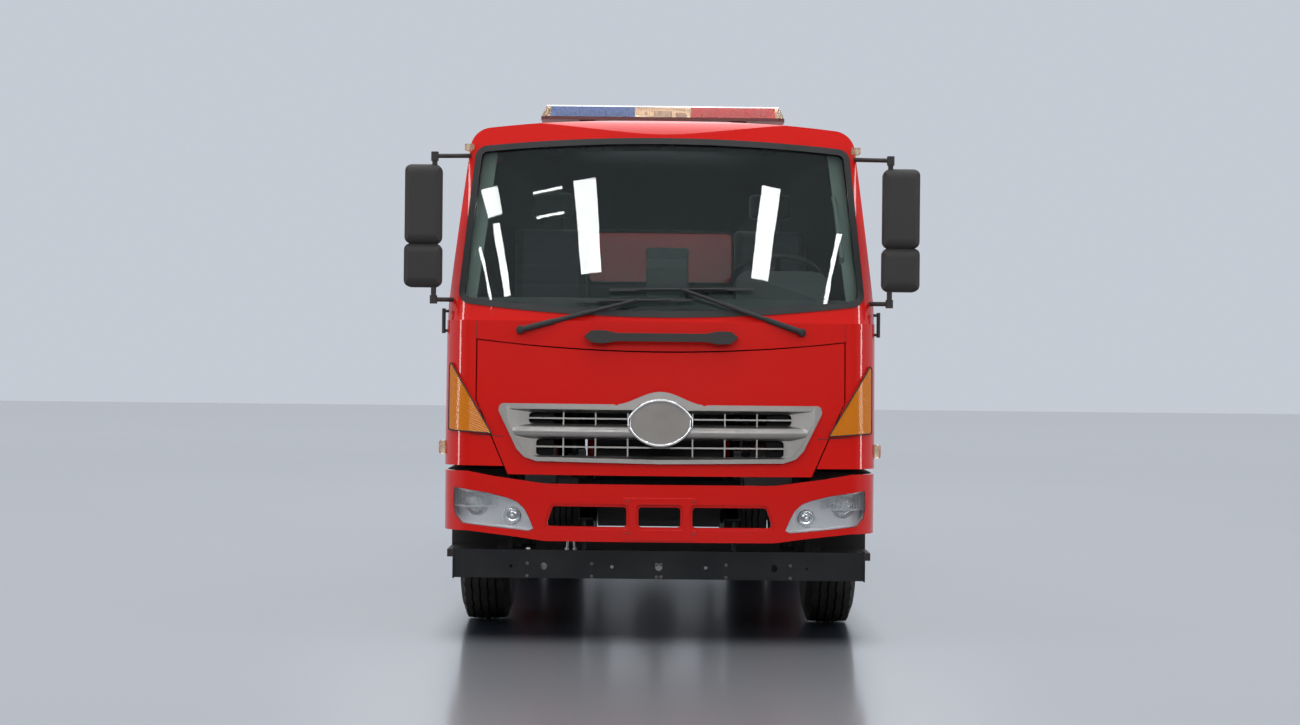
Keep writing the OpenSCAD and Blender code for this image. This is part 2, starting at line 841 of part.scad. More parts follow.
module front_axle() color([0.15, 0.15, 0.15]) difference() {
  union() {
    block([120 - kingpin_x, front_overhang - 45, beam_z - axle_beam_h / 2],
      [kingpin_x - 120, front_overhang + 45, beam_z + axle_beam_h / 2]);
    both_sides() {
      block([front_spring_x - 55, front_overhang - 60, beam_z],
        [front_spring_x + 55, front_overhang + 60, front_seat_z - seat_gap]);
      // Raised end of the beam, clear of the steering arm below it
      block([kingpin_x - 180, front_overhang - 45, arm_z + 36], [kingpin_x - 70, front_overhang + 45, hub_z + 50]);
      block([kingpin_x - 80, front_overhang - 45, hub_z - 60], [kingpin_x, front_overhang + 45, hub_z + 50]);
      translate([kingpin_x, front_overhang, hub_z - 60]) cylinder(h = 120, r = 52);
    }
  }
  both_sides() translate([kingpin_x, front_overhang, 0]) cylinder(h = far, d = kingpin_d + 0.8);
}

spindle_r = 42;
arm_z = hub_z - 108; // steering arm and tie rod height

module knuckle(side) color([0.18, 0.18, 0.18]) mirror([side < 0 ? 1 : 0, 0, 0])
  translate([kingpin_x, front_overhang, hub_z]) {
  translate([0, 0, -100]) cylinder(h = 200, d = kingpin_d);
  for (z = [-100, 66]) {
    translate([0, 0, z]) cylinder(h = 34, r = 56);
    translate([0, -50, z]) cube([90, 100, 34]);
  }
  translate([66, -60, -100]) cube([34, 120, 200]);
  rotate([0, 90, 0]) translate([0, 0, 90]) cylinder(h = 150, r = spindle_r);
  // Steering arm to the tie rod's ball
  translate([-22, 0, arm_z - hub_z - 10]) cube([44, steer_arm_l, 24]);
  translate([0, steer_arm_l, arm_z - hub_z - 10]) cylinder(h = 24, r = 30);
  translate([0, steer_arm_l, arm_z - hub_z - 34]) cylinder(h = 30, r = 12);
}

module tie_rod() color([0.3, 0.3, 0.3]) translate([0, front_overhang + steer_arm_l, arm_z]) difference() {
  union() {
    rod([-kingpin_x, 0, -28], [kingpin_x, 0, -28], 15);
    both_sides() translate([kingpin_x, 0, -44]) cylinder(h = 32, r = 32);
  }
  both_sides() translate([kingpin_x, 0, -60]) cylinder(h = 80, r = 12.4);
}

module rear_axle() color([0.15, 0.15, 0.15]) {
  cross_pin([0, rear_axle_s, hub_z], rear_track - 2 * 205, 68);
  translate([0, rear_axle_s, hub_z]) rotate([90, 0, 0]) cylinder(h = 300, r = 190, center = true);
  translate([0, rear_axle_s - diff_nose_l, hub_z]) rotate([90, 0, 0]) cylinder(h = diff_nose_l, r = 90);
  both_sides() {
    block([rear_spring_x - 50, rear_axle_s - 70, hub_z],
      [rear_spring_x + 50, rear_axle_s + 70, rear_seat_z - seat_gap]);
    rod([rear_spring_x, rear_axle_s, hub_z], [rear_track / 2 + 50, rear_axle_s, hub_z], spindle_r);
  }
}

gearbox_end_s = 2110;
diff_nose_l = 150; // nose of the axle's drive casing
diff_nose_s = rear_axle_s - 2 * diff_nose_l;
prop_z = 715; // shaft's height at the gearbox

module prop_shaft() color([0.25, 0.25, 0.25]) intersection() {
  union() {
    rod([0, gearbox_end_s - 20, prop_z], [0, diff_nose_s + 20, hub_z], 44);
    translate([0, gearbox_end_s, prop_z]) rotate([-90, 0, 0]) cylinder(h = 16, r = 72);
    translate([0, diff_nose_s - 16, hub_z]) rotate([-90, 0, 0]) cylinder(h = 40, r = 72);
  }
  block([-far, gearbox_end_s + seat_gap, 0], [far, diff_nose_s - seat_gap, far]);
}

// Engine and gearbox, one plain mass, and the cooler in front of it
engine_low_z = 590;
module engine_block() color([0.3, 0.32, 0.33]) {
  block([-330, 470, engine_low_z], [330, 1420, 1330]);
  block([-220, 1419, 640], [220, gearbox_end_s, 900]);
  // Mounts on the rails
  half = frame_w / 2 - rail_t - seat_gap;
  for (s = [620, 1300]) block([-half, s, 740], [half, s + 70, 800]);
}

module radiator() color([0.1, 0.1, 0.1]) {
  half = frame_w / 2 - rail_flange - 12;
  block([-half, 320, 700], [half, 400, 1270]);
  both_sides() block([half - 40, 330, 700], [frame_w / 2 - rail_t - seat_gap, 390, 730]);
}

// Wheels
section_r = bead_d / 2 + (hub_z - bead_d / 2) * 0.535; // where the section is widest
shoulder_y = hub_z - section_r - 12;
tread_half = tread_w / 2;
wall_r = (pow(shoulder_y, 2) + pow(tyre_w / 2 - tread_half, 2)) / (2 * (tyre_w / 2 - tread_half));

module tyre_at(x) translate([x, 0, 0]) rotate([0, 90, 0]) rotate_extrude($fn = 180) difference() {
  intersection() {
    translate([section_r, tyre_w / 2 - wall_r]) circle(wall_r, $fn = 180);
    translate([section_r, wall_r - tyre_w / 2]) circle(wall_r, $fn = 180);
    translate([bead_d / 2, -tyre_w / 2]) square([hub_z - bead_d / 2, tyre_w]);
    translate([hub_z - 900, 0]) circle(900, $fn = big_fn);
  }
  for (w = [-66, -22, 22, 66]) translate([hub_z - 14, w - 6]) square([20, 12]);
}

rim_half = 100;
rim_t = 9;
hub_r = 135;
disc_r = 205;

// A rim's section, its bolting face at +wheel_offset: radius and place along the axle
module rim_section() {
  r = bead_d / 2 - seat_gap;
  // Barrel with its flanges
  polygon([[r, -rim_half], [r + 20, -rim_half - 2], [r + 20, -rim_half - 10], [r - rim_t, -rim_half - 10],
    [r - rim_t, rim_half + 10], [r + 20, rim_half + 10], [r + 20, rim_half + 2], [r, rim_half]]);
  // Disc
  polygon([[hub_r + 3, wheel_offset], [disc_r, wheel_offset], [r - 1, rim_half - 20], [r - 1, rim_half - 40],
    [disc_r - 8, wheel_offset - 14], [hub_r + 3, wheel_offset - 14]]);
}

module rim_at(x, face) translate([x, 0, 0]) mirror([face < 0 ? 1 : 0, 0, 0]) rotate([0, 90, 0])
  difference() {
    rotate_extrude($fn = 180) rim_section();
    for (i = [0 : 9]) rotate([0, 0, 36 * i]) {
      translate([stud_pcd / 2, 0, wheel_offset - 40]) cylinder(h = 60, d = 26);
      rotate([0, 0, 18]) translate([222, 0, 0]) cylinder(h = 200, r = 17);
    }
  }

nut_l = 30;

module wheel_nuts(x0, length) translate([x0, 0, 0]) rotate([0, 90, 0])
  for (i = [0 : 9]) rotate([0, 0, 36 * i]) translate([stud_pcd / 2, 0, 0]) cylinder(h = length, d = 25.4);

// Front wheel: rim, hub, drum and nuts turn together
module front_rim(side) color("silver") translate([0, front_overhang, hub_z]) mirror([side < 0 ? 1 : 0, 0, 0]) {
  face_x = front_track / 2 + wheel_offset;
  rim_at(front_track / 2, 1);
  translate([face_x, 0, 0]) rotate([0, 90, 0]) difference() {
    union() {
      translate([0, 0, -14 - 40]) cylinder(h = 40, r = disc_r - 12);
      translate([0, 0, -150]) cylinder(h = 180, r = hub_r);
      cylinder(h = 55, r = 86);
    }
    translate([0, 0, -201]) cylinder(h = 190, r = spindle_r + 0.5);
  }
  wheel_nuts(face_x - 20, 20 + nut_l);
}

module front_tyre(side) color([0.08, 0.08, 0.08])
  translate([side * front_track / 2, front_overhang, hub_z]) tyre_at(0);

module rear_tyres(side) color([0.08, 0.08, 0.08]) translate([side * rear_track / 2, rear_axle_s, hub_z])
  for (x = [-1, 1]) tyre_at(x * twin_spacing / 2);

// Rear twin rims, face to face on their hub
module rear_rims(side) color("silver") translate([0, rear_axle_s, hub_z]) mirror([side < 0 ? 1 : 0, 0, 0]) {
  middle = rear_track / 2;
  rim_at(middle - twin_spacing / 2, 1);
  rim_at(middle + twin_spacing / 2, -1);
  translate([middle, 0, 0]) rotate([0, 90, 0]) difference() {
    union() {
      cylinder(h = 14, r = disc_r - 5, center = true);
      translate([0, 0, -190]) cylinder(h = 380, r = hub_r);
      translate([0, 0, 189]) cylinder(h = 12, r = 86);
    }
    translate([0, 0, -200]) cylinder(h = 260, r = spindle_r + 0.5);
  }
  wheel_nuts(middle - 30, 30 + 14 + nut_l);
}

// Bumper
bumper_front_r = 6200;
bumper_corner_r = 190;
bumper_wrap_s = 250;
bumper_half = bumper_w / 2;
bumper_c = [bumper_half - bumper_corner_r,
  bumper_front_r - sqrt(pow(bumper_front_r - bumper_corner_r, 2) - pow(bumper_half - bumper_corner_r, 2))];

module bumper_plan(inset) {
  edge = 1.2 * (bumper_c - [0, bumper_front_r]) + [0, bumper_front_r];
  intersection() {
    translate([0, bumper_front_r]) circle(bumper_front_r - inset, $fn = big_fn);
    polygon([[0, bumper_front_r], [edge.x, edge.y], [-edge.x, edge.y]]);
  }
  for (x = [-1, 1]) translate([x * bumper_c.x, bumper_c.y]) circle(bumper_corner_r - inset, $fn = 96);
  polygon([bumper_c, [bumper_half - inset, bumper_c.y], [bumper_half - inset, far], [inset - bumper_half, far],
    [inset - bumper_half, bumper_c.y], [-bumper_c.x, bumper_c.y]]);
}

// Half of the bumper's front view, from its foot round its end to its middle
bumper_points = [
  [0, 539], [600, 539], [760, 560], [1000, 586], [1200, 586],
  [1200, 898], [1010, 898], [860, 872], [600, 838], [0, 830]
];

module bumper_outline() polygon([each bumper_points,
  for (k = [len(bumper_points) - 2 : -1 : 1]) [-bumper_points[k].x, bumper_points[k].y]]);

module bumper_ring(out, into, s_end = bumper_wrap_s) translate([0, 0, 400]) linear_extrude(600) difference() {
  bumper_plan(out);
  bumper_plan(into);
  translate([-far, s_end]) square([2 * far, 2 * far]);
}

headlamp_points = [
  [655, 602], [705, 592], [900, 600], [1082, 650], [1082, 822], [870, 806], [800, 760], [720, 660]
];

module headlamp_outline(inset) offset(delta = -inset) polygon(headlamp_points);

module bumper() color("firebrick") difference() {
  intersection() {
    bumper_ring(0, bumper_t);
    along(-100, 400) bumper_outline();
  }
  along(-100, 400) both_sides() headlamp_outline(0);
  along(-100, 200) {
    translate([-109, 617]) square([218, 104]);
    both_sides() polygon([[172, 617], [590, 617], [560, 721], [172, 721]]);
  }
}

// Arms that carry the bumper on the side rails
module bumper_arms() both_sides() difference() {
  block([frame_w / 2 - rail_t, 20, 725], [frame_w / 2 + 12, frame_front_s - seat_gap, 785]);
  translate([0, 0, 400]) linear_extrude(600) difference() {
    translate([-far, -far]) square([2 * far, 2 * far]);
    bumper_plan(bumper_t + seat_gap);
  }
}

// Headlamp bodies behind their clear glasses
module headlamps() color("silver") intersection() {
  bumper_ring(bumper_t + seat_gap, 90);
  along(-100, 400) both_sides() headlamp_outline(-6);
}

module headlamp_lenses() color("white") intersection() {
  bumper_ring(1, 7);
  along(-100, 400) both_sides() headlamp_outline(seat_gap);
}

// Front underrun bar
underrun_half = 1075;
underrun_s = 100;
underrun_d = 80;
bar_t = 8;
tow_hole_d = 38;
underrun_holes = [
  // x, diameter
  [0, tow_hole_d], [604, tow_hole_d], [246, 18], [775, 18]
];

module front_underrun_bar() color([0.1, 0.1, 0.1]) {
  difference() {
    across(2 * underrun_half) translate([underrun_s, underrun_z]) difference() {
      square([underrun_d, underrun_h]);
      translate([bar_t, bar_t]) square([underrun_d, underrun_h - 2 * bar_t]);
    }
    for (h = underrun_holes) both_sides()
      translate([h[0], underrun_s - 20, underrun_z + 62]) rotate([-90, 0, 0]) cylinder(h = 60, d = h[1]);
  }
  // Legs up to the side rails
  both_sides() block([frame_w / 2 - 40, underrun_s + bar_t - 1, underrun_z + bar_t],
    [frame_w / 2 - 28, frame_front_s + 130, rail_z - seat_gap]);
  bumper_arms();
}

// Steps and wings beside the cab's doors, carried by the frame
wing_in = 800;
wing_out = 1128;
wing_r = 630;
wing_t = 12;
step_back_s = 640;

module front_wings() color([0.1, 0.1, 0.1]) both_sides() {
  // Step box
  difference() {
    block([wing_in, 300, 430], [wing_out, step_back_s, 900]);
    for (z = [470, 700]) block([wing_in + 60, 290, z], [wing_out + 10, step_back_s - 40, z + 170]);
  }
  // Arched wing over the tyre
  across(wing_out - wing_in, (wing_in + wing_out) / 2) intersection() {
    translate([front_overhang, hub_z]) difference() {
      circle(wing_r + wing_t, $fn = 180);
      circle(wing_r, $fn = 180);
    }
    union() {
      translate([620, 880]) square([700, 400]);
      translate([front_overhang, 700]) square([600, 600]);
    }
  }
  block([wing_in, step_back_s + seat_gap, 870], [wing_out, 736, 900]);
  // Brackets from the rail
  block([frame_w / 2 + seat_gap, 440, 700], [wing_in + 1, 500, 760]);
  block([frame_w / 2 + seat_gap, front_overhang - 25, rail_top_z - 60],
    [frame_w / 2 + 30, front_overhang + 25, 1150]);
  block([frame_w / 2 + seat_gap, front_overhang - 25, 1122], [wing_out - 20, front_overhang + 25, 1158]);
}

// Cab pivots: pins on brackets at the front of the side rails, and the cab's arms down to them
pivot_s = 205;
pivot_z = 980;
pivot_pin_r = 18;
bracket_w = 40;

module cab_pivots() both_sides() {
  across(bracket_w, frame_w / 2 - bracket_w / 2) polygon([
    [frame_front_s, rail_top_z - 1],
    [frame_front_s + 90, rail_top_z - 1],
    [pivot_s + 44, pivot_z + 6],
    [pivot_s + 26, pivot_z + 32],
    [pivot_s - 26, pivot_z + 32],
    [pivot_s - 34, pivot_z - 8]
  ]);
  cross_pin([frame_w / 2 + 10, pivot_s, pivot_z], 80, pivot_pin_r);
}

module hinge_arms() both_sides() difference() {
  block([frame_w / 2 + 8, hole_back_s + 1, pivot_z - 32], [frame_w / 2 + 34, pivot_s + 34, floor_z - floor_t + 1]);
  cross_pin([frame_w / 2, pivot_s, pivot_z], 200, pivot_pin_r + seat_gap);
}

// Tanks behind the cab
module chassis_tanks() color("silver") {
  // Fuel tank on the left, air vessels and batteries on the right
  across(560, 800) translate([2360, 790]) round_rect(760, 400, 70);
  block([frame_w / 2 + seat_gap, 2100, 640], [540, 2160, 840]);
  block([frame_w / 2 + seat_gap, 2560, 640], [540, 2620, 840]);
  mirror([1, 0, 0]) {
    block([620, 2010, 620], [1080, 2330, 960]);
    translate([640, 2420, 720]) rotate([-90, 0, 0]) cylinder(h = 420, r = 110);
    translate([890, 2420, 720]) rotate([-90, 0, 0]) cylinder(h = 420, r = 110);
    block([frame_w / 2 + seat_gap, 2100, 680], [621, 2160, 760]);
    block([frame_w / 2 + seat_gap, 2500, 690], [1000, 2560, 750]);
  }
}

module exhaust() color([0.35, 0.33, 0.3]) mirror([1, 0, 0]) {
  translate([575, 3100, 640]) rotate([-90, 0, 0]) cylinder(h = 760, r = 95);
  rod([575, 3850, 640], [575, 4300, 640], 45);
  rod([575, 3110, 640], [575, 2880, 640], 45);
  for (s = [3200, 3760]) block([frame_w / 2 + seat_gap, s, 660], [500, s + 40, 740]);
}

// Fire body
shutter_t = 30;
arch_body_r = 620;
arch_in = 520; // wheel arches reach in to here
lower_in = 700; // inner side of the lockers below the floor line
locker_low_z = 600;
locker_top_z = 2400;
bay_low_z = 1090; // lower edge of the front lockers and of the rear pump bay
bay_half_w = 700;
coaming = 45; // thickness of the side walls round the walkway
tank_end_s = body_front_s + 1050;
lockers = [
  // start, end, lower edge
  [body_front_s + 70, tank_end_s - 60, bay_low_z],
  [tank_end_s + 40, tank_end_s + 900, 680],
  [tank_end_s + 980, rear_axle_s - 740, 680],
  [rear_axle_s - 640, rear_axle_s + 600, 1240],
  [rear_axle_s + 720, overall_l - 110, 680]
];

// Side view of the body's upper part, and of its sides with the low lockers and the wheel arch
module upper_side() translate([body_front_s, body_low_z]) square([overall_l - body_front_s, body_top_z - body_low_z]);

module arched_side(low_z) difference() {
  polygon([[body_front_s, body_top_z], [body_front_s, body_low_z], [tank_end_s, body_low_z], [tank_end_s, low_z],
    [overall_l, low_z], [overall_l, body_top_z]]);
  translate([rear_axle_s, hub_z]) circle(arch_body_r, $fn = 180);
  translate([rear_axle_s - arch_body_r, 0]) square([2 * arch_body_r, hub_z]);
}

module fire_body() color("red") difference() {
  union() {
    across(2 * arch_in) upper_side();
    both_sides() {
      across(lower_in - arch_in + 1, (lower_in + arch_in) / 2) arched_side(body_low_z);
      across(body_half_w - lower_in, (body_half_w + lower_in) / 2) arched_side(locker_low_z);
      // Bearers along the side rails
      block([frame_w / 2 - rail_flange, body_front_s + 60, rail_top_z + seat_gap],
        [frame_w / 2, overall_l - 200, body_low_z + 1]);
    }
  }
  // Walkway between the side walls
  block([coaming - body_half_w, body_front_s + coaming, deck_z], [body_half_w - coaming, overall_l - coaming, far]);
  // Locker openings and the rear pump bay
  for (l = lockers) both_sides() block([body_half_w - shutter_t, l[0], l[2]], [far, l[1], locker_top_z]);
  block([-bay_half_w, overall_l - shutter_t, bay_low_z], [bay_half_w, 3 * far, locker_top_z]);
}

slat_h = 44;

// A curtain's section: flat slats with a rounded nose, in [depth, height]
module curtain_section(height) {
  square([10, height]);
  for (z = [slat_h / 2 : slat_h : height - slat_h / 2]) translate([10 - 30, z]) intersection() {
    circle(36, $fn = 60);
    translate([28, -slat_h / 2 + 3]) square([20, slat_h - 6]);
  }
}

module roller_shutters() color("silver") {
  for (l = lockers) both_sides()
    translate([body_half_w - shutter_t + seat_gap, l[1] - seat_gap, l[2] + seat_gap]) rotate([90, 0, 0])
      linear_extrude(l[1] - l[0] - 2 * seat_gap) curtain_section(locker_top_z - l[2] - 2 * seat_gap);
  translate([0, overall_l - shutter_t + seat_gap, bay_low_z + seat_gap]) rotate([90, 0, 90])
    linear_extrude(2 * (bay_half_w - seat_gap), center = true)
      curtain_section(locker_top_z - bay_low_z - 2 * seat_gap);
}

// Ladders
module ladder_frame(length, width, rungs) {
  for (x = [-width / 2, width / 2]) translate([x - 15, 0, 0]) cube([30, length, 60]);
  for (i = [0 : rungs - 1]) translate([0, 140 + i * (length - 280) / (rungs - 1), 30])
    rotate([0, 90, 0]) cylinder(h = width - 20, r = 15, center = true);
}

rear_ladder_half = 140;

module ladders() color("silver") {
  // Roof ladder on two cross bars
  translate([-700, 4500, deck_z + 60]) ladder_frame(2700, 420, 10);
  for (s = [4800, 6800]) block([-950, s, deck_z + seat_gap], [-450, s + 50, deck_z + 61]);
  // Rear ladder up to the deck
  half = rear_ladder_half;
  translate([870, overall_l, 0]) {
    for (x = [-half, half]) rod([x, ladder_d - 16, 620], [x, ladder_d - 16, 2720], 16);
    for (i = [0 : 7]) rod([-half, ladder_d - 16, 760 + 260 * i], [half, ladder_d - 16, 760 + 260 * i], 12);
    for (x = [-half, half], z = [700, 1700, 2600]) rod([x, seat_gap, z], [x, ladder_d - 16, z], 12);
  }
}

module rear_lamps() color("darkred") both_sides() {
  translate([1090, overall_l + seat_gap, 820]) block([-50, 0, -160], [50, 26, 160]);
}

// Monitor
module monitor_base() color("red") translate([0, monitor_s, 0]) {
  translate([0, 0, deck_z + seat_gap]) cylinder(h = 16, r = 150);
  translate([0, 0, deck_z]) translate([0, 0, 10]) cylinder(h = 180, r = 85);
  translate([0, 0, deck_z + 180]) cylinder(h = 20, r = 120);
}

turret_z = deck_z + 200 + seat_gap;

module monitor_turret() color("red") translate([0, monitor_s, 0]) {
  translate([0, 0, turret_z]) cylinder(h = 24, r = 120);
  translate([0, 0, turret_z + 20]) cylinder(h = 60, r = 80);
  both_sides() block([88, -55, turret_z + 40], [112, 55, monitor_axis_z + 60]);
  block([-112, -75, turret_z + 30], [112, 75, turret_z + 54]);
  both_sides() cross_pin([90, 0, monitor_axis_z], 60, 22);
}

module monitor_barrel() color("red") translate([0, monitor_s, monitor_axis_z]) difference() {
  union() {
    rotate([90, 0, 0]) cylinder(h = monitor_l - 200, d = monitor_bore_d + 16);
    rotate([90, 0, 0]) translate([0, 0, monitor_l - 201]) cylinder(h = 201, r = 62);
    cross_pin([0, 0, 0], 164, 62);
    cross_pin([0, 40, 0], 60, 50);
  }
  rotate([90, 0, 0]) cylinder(h = 2 * far, d = monitor_bore_d);
  cross_pin([0, 0, 0], far, 22.5);
}

on_truck() frame_rails();
on_truck() front_underrun_bar();
on_truck() bumper();
on_truck() headlamps();
on_truck() headlamp_lenses();
on_truck() engine_block();
on_truck() radiator();
on_truck() front_axle();
on_truck() rear_axle();
on_truck() leaf_springs();
on_truck() prop_shaft();
on_truck() chassis_tanks();
on_truck() exhaust();
on_truck() front_wings();
on_truck() fire_body();
on_truck() roller_shutters();
on_truck() ladders();
on_truck() rear_lamps();
on_truck() monitor_base();
on_truck() monitor_turret();
on_truck() monitor_barrel();
on_truck() knuckle(1);  // knuckle_left
on_truck() knuckle(-1);  // knuckle_right
on_truck() tie_rod();
on_truck() front_tyre(1);  // front_tyre_left
on_truck() front_tyre(-1);  // front_tyre_right
on_truck() front_rim(1);  // front_rim_left
on_truck() front_rim(-1);  // front_rim_right
on_truck() rear_tyres(1);  // rear_tyres_left
on_truck() rear_tyres(-1);  // rear_tyres_right
on_truck() rear_rims(1);  // rear_rims_left
on_truck() rear_rims(-1);  // rear_rims_right
on_truck() cab_shell();
on_truck() cab_windows();
on_truck() window_seals();
on_truck() light_bar_base();
on_truck() light_bar_blue();
on_truck() light_bar_clear();
on_truck() light_bar_red();
on_truck() mirrors();
on_truck() mirror_glasses();
on_truck() wipers();
on_truck() front_handle();
on_truck() turn_lamps();
on_truck() marker_lamps();
on_truck() dashboard();
on_truck() steering_wheel();
on_truck() seats();
on_truck() front_lid();
on_truck() grille();
on_truck() door(1);  // door_left
on_truck() door(-1);  // door_right
on_truck() door_glass(1);  // door_glass_left
on_truck() door_glass(-1);  // door_glass_right
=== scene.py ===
"""Airport fire truck: finishes, tyre tread, glass, lamps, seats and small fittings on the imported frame."""
import math

import bmesh
import bpy
from mathutils import Matrix, Vector


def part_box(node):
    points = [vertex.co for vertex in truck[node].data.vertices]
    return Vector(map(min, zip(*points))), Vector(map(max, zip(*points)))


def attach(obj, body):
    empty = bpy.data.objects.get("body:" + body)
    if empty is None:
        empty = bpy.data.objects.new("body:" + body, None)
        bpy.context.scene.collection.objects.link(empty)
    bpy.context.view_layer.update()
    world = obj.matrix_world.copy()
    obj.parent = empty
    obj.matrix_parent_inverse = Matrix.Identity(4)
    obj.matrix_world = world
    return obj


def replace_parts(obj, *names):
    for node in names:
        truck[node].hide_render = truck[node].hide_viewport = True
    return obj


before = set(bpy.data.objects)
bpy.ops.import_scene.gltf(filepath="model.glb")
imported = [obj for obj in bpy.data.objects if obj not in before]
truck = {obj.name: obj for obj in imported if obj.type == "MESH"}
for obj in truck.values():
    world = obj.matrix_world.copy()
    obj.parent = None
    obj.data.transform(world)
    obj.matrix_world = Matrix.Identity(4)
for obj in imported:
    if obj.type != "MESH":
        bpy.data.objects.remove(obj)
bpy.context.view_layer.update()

# Places on the truck, in metres: x to its left, y backwards, z up
BUMPER_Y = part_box("bumper")[0][1]
HUB_Z = (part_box("front_tyre_left")[0][2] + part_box("front_tyre_left")[1][2]) / 2
TYRE_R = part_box("front_tyre_left")[1][2] - HUB_Z
FRONT_AXLE_Y = (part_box("front_tyre_left")[0][1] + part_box("front_tyre_left")[1][1]) / 2
REAR_AXLE_Y = (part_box("rear_tyres_left")[0][1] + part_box("rear_tyres_left")[1][1]) / 2
SIDES = {"left": 1, "right": -1}

# The cab's form: its bowed front panel, windscreen, sides and roof
BOW_R = 6.26
FACE_S = 0.045
FACE_FOOT = 0.882
FACE_LEAN = math.tan(math.radians(3.5))
SCREEN_S = 0.118
SCREEN_FOOT = 1.69
SCREEN_LEAN = math.tan(math.radians(20))
WAIST_Z = 1.764
SIDE_LEAN = math.tan(math.radians(6.1))
CAB_HALF = 1.14
ROOF_Z = 2.796
ROOF_BOW_R = 8.95


# Node helpers
def add(tree, kind, settings=None, **inputs):
    """Adds a shader node. An input given as a socket is linked, and anything else is its value."""
    made = tree.nodes.new("ShaderNode" + kind)
    for name, value in (settings or {}).items():
        setattr(made, name, value)
    for name, value in inputs.items():
        put(tree, made.inputs[name.replace("_", " ")], value)
    return made


def put(tree, socket, value):
    """Links a socket to another one, or sets its value."""
    if isinstance(value, bpy.types.NodeSocket):
        tree.links.new(value, socket)
    else:
        socket.default_value = value


def math_node(tree, operation, *values):
    """One Math node's result."""
    made = tree.nodes.new("ShaderNodeMath")
    made.operation = operation
    for socket, value in zip(made.inputs, values):
        put(tree, socket, value)
    return made.outputs[0]


def mix_colour(tree, factor, low, high):
    """Blends two colours by a factor."""
    made = tree.nodes.new("ShaderNodeMix")
    made.data_type = "RGBA"
    put(tree, made.inputs[0], factor)
    put(tree, made.inputs[6], low)
    put(tree, made.inputs[7], high)
    return made.outputs[2]


def remap(tree, value, low, high, to_low=0.0, to_high=1.0):
    """Maps a value's range to another one, clamped."""
    return add(tree, "MapRange", None, Value=value, From_Min=low, From_Max=high,
               To_Min=to_low, To_Max=to_high).outputs[0]


def group(name, inputs, outputs):
    """A new shader node group with named sockets. Returns its tree, its inputs and its outputs."""
    tree = bpy.data.node_groups.new(name, "ShaderNodeTree")
    for socket, kind, value in inputs:
        made = tree.interface.new_socket(socket, in_out="INPUT", socket_type="NodeSocket" + kind)
        made.default_value = value
    for socket, kind in outputs:
        tree.interface.new_socket(socket, in_out="OUTPUT", socket_type="NodeSocket" + kind)
    return tree, tree.nodes.new("NodeGroupInput").outputs, tree.nodes.new("NodeGroupOutput").inputs


def use(tree, effect, **inputs):
    """Places a shared effect in a material with its own values."""
    made = tree.nodes.new("ShaderNodeGroup")
    made.node_tree = effect
    for name, value in inputs.items():
        put(tree, made.inputs[name.replace("_", " ")], value)
    return made.outputs


def place(tree):
    """Object coordinates, which are the truck's own."""
    return tree.nodes.new("ShaderNodeTexCoord").outputs["Object"]


# Shared effects
def make_grain():
    """Fine bumps: the peel of paint, the grain of moulded plastic or of a casting."""
    tree, given, result = group("fine_grain", [
        ("Scale", "Float", 900.0), ("Strength", "Float", 0.1), ("Depth", "Float", 0.0005)],
        [("Normal", "Vector")])
    noise = add(tree, "TexNoise", None, Vector=place(tree), Scale=given["Scale"], Detail=3.0, Roughness=0.55)
    bump = add(tree, "Bump", None, Strength=given["Strength"], Distance=given["Depth"],
               Height=noise.outputs["Fac"])
    tree.links.new(bump.outputs[0], result["Normal"])
    return tree


def make_film():
    """Dust and handling marks: a broken film over a colour, which also dulls it."""
    tree, given, result = group("dust_film", [
        ("Color", "Color", (0.5, 0.5, 0.5, 1)), ("Dust", "Color", (0.35, 0.32, 0.28, 1)),
        ("Amount", "Float", 0.2), ("Scale", "Float", 3.0), ("Roughness", "Float", 0.4)],
        [("Color", "Color"), ("Roughness", "Float")])
    at = place(tree)
    broad = add(tree, "TexNoise", None, Vector=at, Scale=given["Scale"], Detail=6.0, Roughness=0.62)
    fine = add(tree, "TexNoise", None, Vector=at, Scale=math_node(tree, "MULTIPLY", given["Scale"], 23.0),
               Detail=3.0)
    cloud = math_node(tree, "MULTIPLY", remap(tree, broad.outputs["Fac"], 0.35, 0.75),
                      remap(tree, fine.outputs["Fac"], 0.3, 0.7, 0.4, 1.0))
    cover = math_node(tree, "MULTIPLY", cloud, given["Amount"])
    tree.links.new(mix_colour(tree, cover, given["Color"], given["Dust"]), result["Color"])
    tree.links.new(math_node(tree, "ADD", given["Roughness"], math_node(tree, "MULTIPLY", cover, 0.4)),
                   result["Roughness"])
    return tree


def make_brushing():
    """Fine drawn lines along one direction, as on rolled or extruded aluminium."""
    tree, given, result = group("brushing", [
        ("Stretch", "Vector", (4.0, 4.0, 900.0)), ("Color", "Color", (0.7, 0.7, 0.7, 1)),
        ("Roughness", "Float", 0.35), ("Depth", "Float", 0.0001)],
        [("Color", "Color"), ("Roughness", "Float"), ("Normal", "Vector")])
    stretched = add(tree, "VectorMath", {"operation": "MULTIPLY"})
    put(tree, stretched.inputs[0], place(tree))
    put(tree, stretched.inputs[1], given["Stretch"])
    lines = add(tree, "TexNoise", None, Vector=stretched.outputs[0], Scale=1.0, Detail=4.0, Roughness=0.7)
    value = lines.outputs["Fac"]
    darker = mix_colour(tree, remap(tree, value, 0.3, 0.7, 0.0, 0.25), given["Color"], (0.25, 0.25, 0.26, 1))
    tree.links.new(darker, result["Color"])
    tree.links.new(math_node(tree, "ADD", given["Roughness"], remap(tree, value, 0.3, 0.7, -0.08, 0.12)),
                   result["Roughness"])
    bump = add(tree, "Bump", None, Strength=0.5, Distance=given["Depth"], Height=value)
    tree.links.new(bump.outputs[0], result["Normal"])
    return tree


